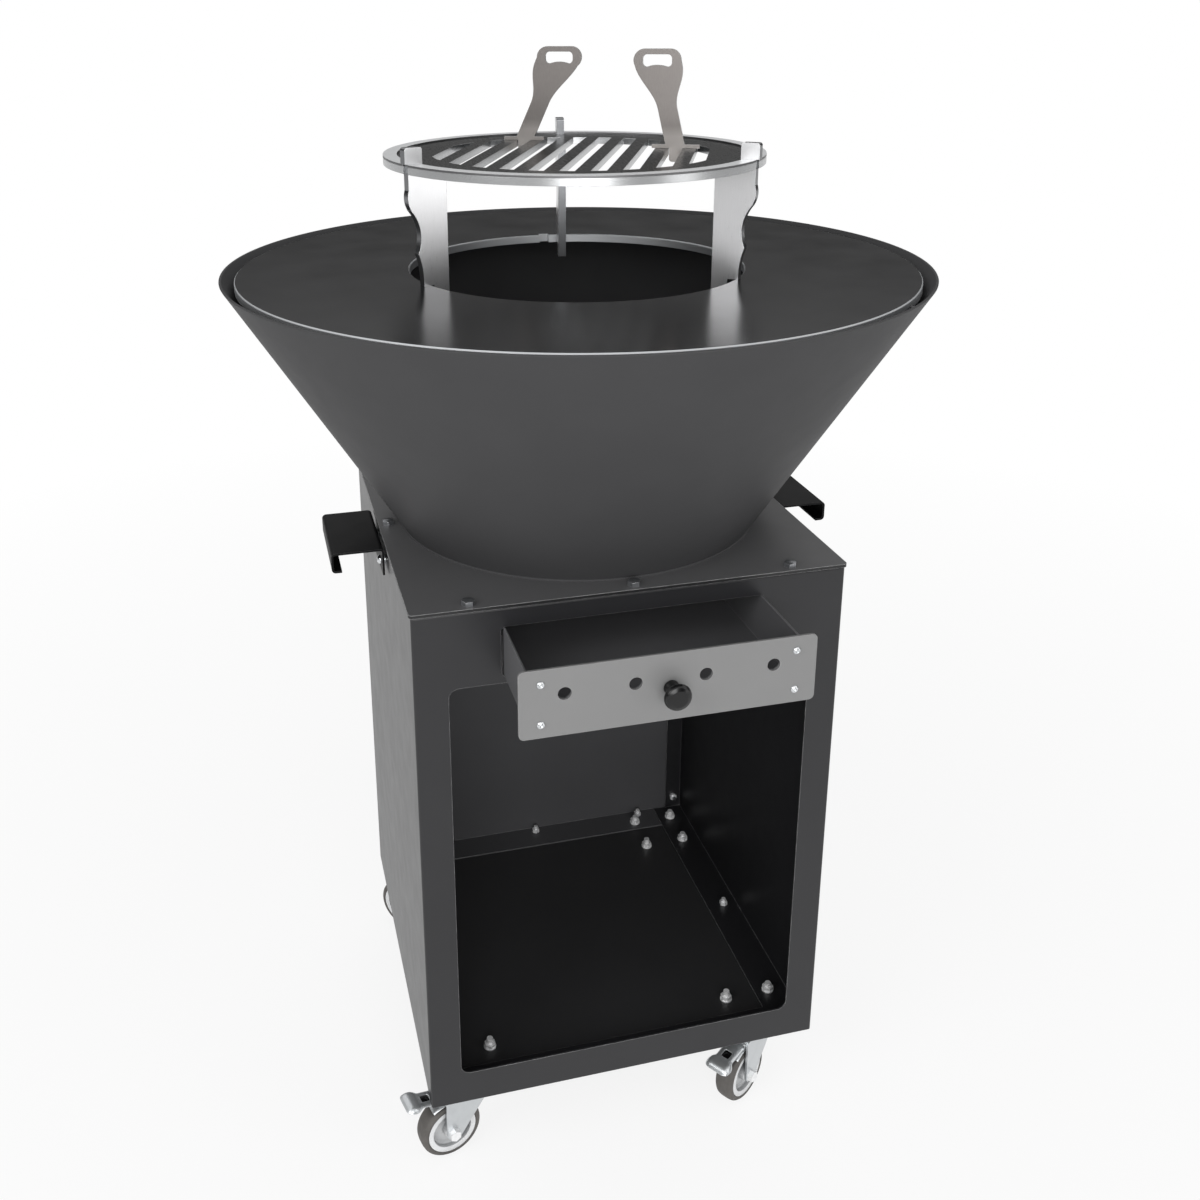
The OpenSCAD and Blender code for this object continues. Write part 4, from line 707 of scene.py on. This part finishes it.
# %% Brake pedals
pin_out, pin_high = 38 * mm, 87 * mm
lever_end, arm_half, pad_half, corner_r = 56 * mm, 12.5 * mm, 18 * mm, 8 * mm
window_from, window_to, window_half = 22 * mm, 33 * mm, 5.5 * mm
flare_from, flare_to = 34 * mm, 42 * mm
rise_from, rise_to = 33 * mm, 41 * mm
arm_rise, pad_rise, arm_lip, pad_lip, end_lip_from = 3 * mm, 2 * mm, 2.5 * mm, 3.5 * mm, 51 * mm
lever_thick, barrel_bore, barrel_r = 2 * mm, 2.6 * mm, 4.3 * mm
pedal_tilts = {"fl": 12, "fr": -7}


def step_up(x, start, end):
    """Smooth step: 0 before the start, 1 after the end, and 3 t^2 - 2 t^3 between them."""
    t = np.clip((x - start) / (end - start), 0, 1)
    return t * t * (3 - 2 * t)


def lever_sheet():
    """Half width w(s) times v across, height h(s) less a turned down edge near |v| = 1 and the end."""
    s = np.array([-2, 6, 14, 21, 22, 27, 32, 33, 36, 39, 43, 49, 53, 55, 56]) * mm
    v = np.array([-1, -0.97, -0.8, -0.46, -0.44, 0, 0.44, 0.46, 0.8, 0.97, 1])
    half = arm_half + (pad_half - arm_half) * step_up(s, flare_from, flare_to)
    round_off = np.clip(s - (lever_end - corner_r), 0, corner_r)
    half = half - corner_r + np.sqrt(np.maximum(corner_r**2 - round_off**2, 0)) * 0.9 + corner_r * 0.1
    rise = step_up(s, rise_from, rise_to)
    top = arm_rise + pad_rise * rise
    end_lip = step_up(s, end_lip_from, lever_end)[:, None]
    edge = np.maximum(step_up(np.abs(v)[None, :], 0.86, 1.0), end_lip)
    deep = (arm_lip + pad_lip * rise)[:, None]
    grid = [s[:, None] + 0 * v, half[:, None] * v[None, :], top[:, None] - edge * deep]
    points, quads = skin(np.stack(grid, -1))
    centre = points[quads].mean(1)
    along = (centre[:, 0] > window_from) & (centre[:, 0] < window_to)
    return points, quads[~(along & (abs(centre[:, 1]) < window_half))]


def tilted(part, degrees):
    """Turns a pedal up about its pin, and carries it to the pin in the caster's space."""
    c, t = np.cos(np.radians(degrees)), np.sin(np.radians(degrees))
    return moved(part, (pin_out, 0, pin_high), [[c, 0, t], [0, 1, 0], [-t, 0, c]])


def press(obj, thick):
    """Sheet thickness inwards from the outer face, then smooth bends."""
    wall = obj.modifiers.new("sheet", "SOLIDIFY")
    wall.thickness, wall.offset = thick, -1
    smooth = obj.modifiers.new("bends", "SUBSURF")
    smooth.levels = smooth.render_levels = 2


wall_in, wall_out = (barrel_bore, barrel_r), (barrel_r, barrel_bore)
section = [(r, -arm_half) for r in wall_in] + [(r, arm_half) for r in wall_out]
points, quads = turned(soften(section, 0.5 * mm, 4), 40, closed=True)
barrel = points[:, [0, 2, 1]], quads
for key, degrees in pedal_tilts.items():
    origin, axes = caster_space(key)
    lever = moved(tilted(lever_sheet(), degrees), origin, axes)
    tube = moved(tilted(barrel, degrees), origin, axes)
    sheet = piece("lever_" + key, [lever], "caster_zinc", "pedal_" + key, ["pedal_" + key], 180)
    press(sheet, lever_thick)
    piece("lever_barrel_" + key, [tube], "caster_zinc", "pedal_" + key)

# %% [markdown]
# A block of dark rubber sits under each lever's window. It presses the shoe below it onto the
# tyre.

# %% Brake blocks
block_plan = np.array([(19, -8), (36, -8), (36, 8), (19, 8)]) * mm
block_low, block_high, block_edge = -4 * mm, -0.5 * mm, 0.8 * mm
for key, degrees in pedal_tilts.items():
    block = slab(soften(block_plan, 2 * mm), block_low, block_high, block_edge)
    origin, axes = caster_space(key)
    piece("block_" + key, [moved(tilted(block, degrees), origin, axes)], "knob_black", "pedal_" + key)

# %% [markdown]
# Under each pedal a curved shoe of sheet steel hangs from the fork over the tyre. It is a strip
# round the axle, 4.5 mm off the tread, with its two long edges turned a little down.

# %% Brake shoes
shoe_gap, shoe_dip, shoe_half, shoe_thick = 4.5 * mm, 1.6 * mm, 12.5 * mm, 1.2 * mm
shoe_from, shoe_to = np.radians([96, 56])


def shoe_sheet():
    """Radius r less a dip near the sides, swept over an angle about the axle."""
    turn = np.linspace(shoe_from, shoe_to, 10)[:, None]
    v = np.array([-1, -0.96, -0.8, 0, 0.8, 0.96, 1])[None, :]
    r = wheel_r + shoe_gap - shoe_dip * step_up(np.abs(v), 0.8, 1.0)
    across = shoe_half * v + 0 * turn
    return skin(np.stack([trail + r * np.cos(turn), across, wheel_r + r * np.sin(turn)], -1))


for key in pedal_tilts:
    origin, axes = caster_space(key)
    shoe = moved(shoe_sheet(), origin, axes)
    press(piece("shoe_" + key, [shoe], "caster_zinc", "fork_" + key, (), 180), shoe_thick)

# %% [markdown]
# Light and camera. A product like this is shot on a white sweep, with soft lights on the left, in
# front, on the right and high behind, and white all round. The floor is pale and keeps the
# shadow: seen by the camera, it is mostly its own plain white and a little of the lit surface.

# %% Floor
def seen_directly(tree, *more):
    """1 for camera rays and the kinds named, else 0: floor and sky look plain white to them."""
    path = add(tree, "LightPath")
    share = path.outputs["Is Camera Ray"]
    for name in more:
        share = add(tree, "Math", {"operation": "MAXIMUM"}, {0: share, 1: path.outputs[name]}).outputs[0]
    return share


shadow_reach, plain_from, plain_share = 0.7, 2.6, 0.84


def floor_finish():
    """Lit white near the part, for its shadow, and plain white from 2.6 m on."""
    look, tree, shader, where = new_look("studio_floor")
    shader.inputs["Base Color"].default_value = srgb("#f6f6f6")
    shader.inputs["Roughness"].default_value = 0.9
    plain = add(tree, "Emission", {"Color": srgb("#ffffff"), "Strength": 1.0})
    far = add(tree, "VectorMath", {"operation": "LENGTH"}, {0: where}).outputs["Value"]
    whiter = ranged(tree, far, shadow_reach, plain_from, plain_share, 1.0)
    seen = seen_directly(tree, "Is Glossy Ray", "Is Transmission Ray")
    share = add(tree, "Math", {"operation": "MULTIPLY"}, {0: seen, 1: whiter}).outputs[0]
    mix = add(tree, "MixShader", {}, {0: share, 1: shader.outputs["BSDF"], 2: plain.outputs[0]})
    tree.links.new(mix.outputs[0], tree.nodes["Material Output"].inputs["Surface"])
    return look


floor_half = 15.0
floor_mesh = bpy.data.meshes.new("studio_floor")
floor_corners = np.array([(-1, -1, 0), (1, -1, 0), (1, 1, 0), (-1, 1, 0)]) * floor_half
floor_mesh.from_pydata(floor_corners.tolist(), [], [(0, 1, 2, 3)])
floor_mesh.materials.append(floor_finish())
floor = bpy.data.objects.new("studio_floor", floor_mesh)
bpy.context.scene.collection.objects.link(floor)

# %% [markdown]
# The sky is white for the camera. Dark sheet steel needs something dark to mirror, so for
# mirrored rays a dark wall stands round the set. It fades to white between 12 and 27 degrees of
# height, whose sines are named here, and a soft light would hang there. Upright faces mirror the
# white floor and stay bright.

# %% Sky
world = bpy.data.worlds.new("studio")
bpy.context.scene.world = world
world.use_nodes = True
# The sky isn't sampled as a lamp, because its level depends on the kind of ray.
world.cycles.sampling_method = "NONE"
sky = world.node_tree
sky.nodes.clear()
direction = add(sky, "TexCoord").outputs["Generated"]
climb = add(sky, "SeparateXYZ", {}, {"Vector": direction}).outputs["Z"]
wall_end, white_from, wall_level, fill_level = 0.2, 0.46, 0.03, 0.5
wall = ranged(sky, climb, wall_end, white_from, wall_level, 1.0)
mirrored = add(sky, "LightPath").outputs["Is Glossy Ray"]
levels = {"Value": mirrored, "To Max": wall}
behind = add(sky, "MapRange", {"To Min": fill_level}, levels).outputs["Result"]
direct = seen_directly(sky, "Is Transmission Ray")
strength = add(sky, "MapRange", {"To Max": 1.0}, {"Value": direct, "To Min": behind}).outputs["Result"]
background = add(sky, "Background", {"Color": (1, 1, 1, 1)}, {"Strength": strength})
add(sky, "OutputWorld", {}, {"Surface": background.outputs[0]})


# %% Soft lights
def placed(x, y, z, place):
    """Matrix whose columns are three axes and a place."""
    pose = np.eye(4)
    pose[:3] = np.column_stack([x, y, z, place])
    return Matrix(pose.tolist())


def soft_light(name, place, target, size, power):
    """Rectangular area light that looks at a target."""
    lamp = bpy.data.lights.new(name, "AREA")
    lamp.shape = "RECTANGLE"
    lamp.size, lamp.size_y = size
    lamp.energy = power
    obj = bpy.data.objects.new(name, lamp)
    z = np.subtract(place, target)
    z = z / np.linalg.norm(z)
    x = np.cross(up, z)
    x = x / np.linalg.norm(x)
    obj.matrix_world = placed(x, np.cross(z, x), z, place)
    obj.visible_camera = False
    bpy.context.scene.collection.objects.link(obj)


middle = (0, 0, 0.75)
soft_light("key_left", (-2.6, -1.6, 2.2), middle, (1.8, 1.8), 30)
soft_light("fill_front", (-0.5, -3.0, 1.5), middle, (1.6, 1.6), 45)
soft_light("fill_right", (2.4, -2.2, 1.4), middle, (1.2, 2.0), 12)
soft_light("top_back", (0.4, 1.6, 3.4), (0, 0, 1.1), (2.2, 1.2), 8)

# %% [markdown]
# The camera stands in front and to the left, 1.4 m above the floor, and looks down a little. Its
# place and angles were worked out from the photograph's straight edges and ellipses.

# %% Camera
cam_place = (-0.4034, -1.4498, 1.3924)
yaw, pitch, roll = np.radians([-14.091, -18.574, -0.368])
focal_px, middle_px, frame_px = 1271.8, (545.3, 421.6), 1200
view_dir = np.array([-np.sin(yaw) * np.cos(pitch), np.cos(yaw) * np.cos(pitch), np.sin(pitch)])
level = np.array([np.cos(yaw), np.sin(yaw), 0])
lift = np.cross(level, view_dir)
cam_x = np.cos(roll) * level + np.sin(roll) * lift
cam_y = np.cos(roll) * lift - np.sin(roll) * level
camera_data = bpy.data.cameras.new("camera")
camera_data.sensor_width = 36.0
camera_data.lens = focal_px / frame_px * camera_data.sensor_width
camera_data.shift_x = (frame_px / 2 - middle_px[0]) / frame_px
camera_data.shift_y = (middle_px[1] - frame_px / 2) / frame_px
camera = bpy.data.objects.new("camera", camera_data)
camera.matrix_world = placed(cam_x, cam_y, -view_dir, cam_place)
bpy.context.scene.collection.objects.link(camera)
bpy.context.scene.camera = camera
bpy.context.scene.view_settings.view_transform = "Standard"
print("lens", round(camera_data.lens, 2), "mm")
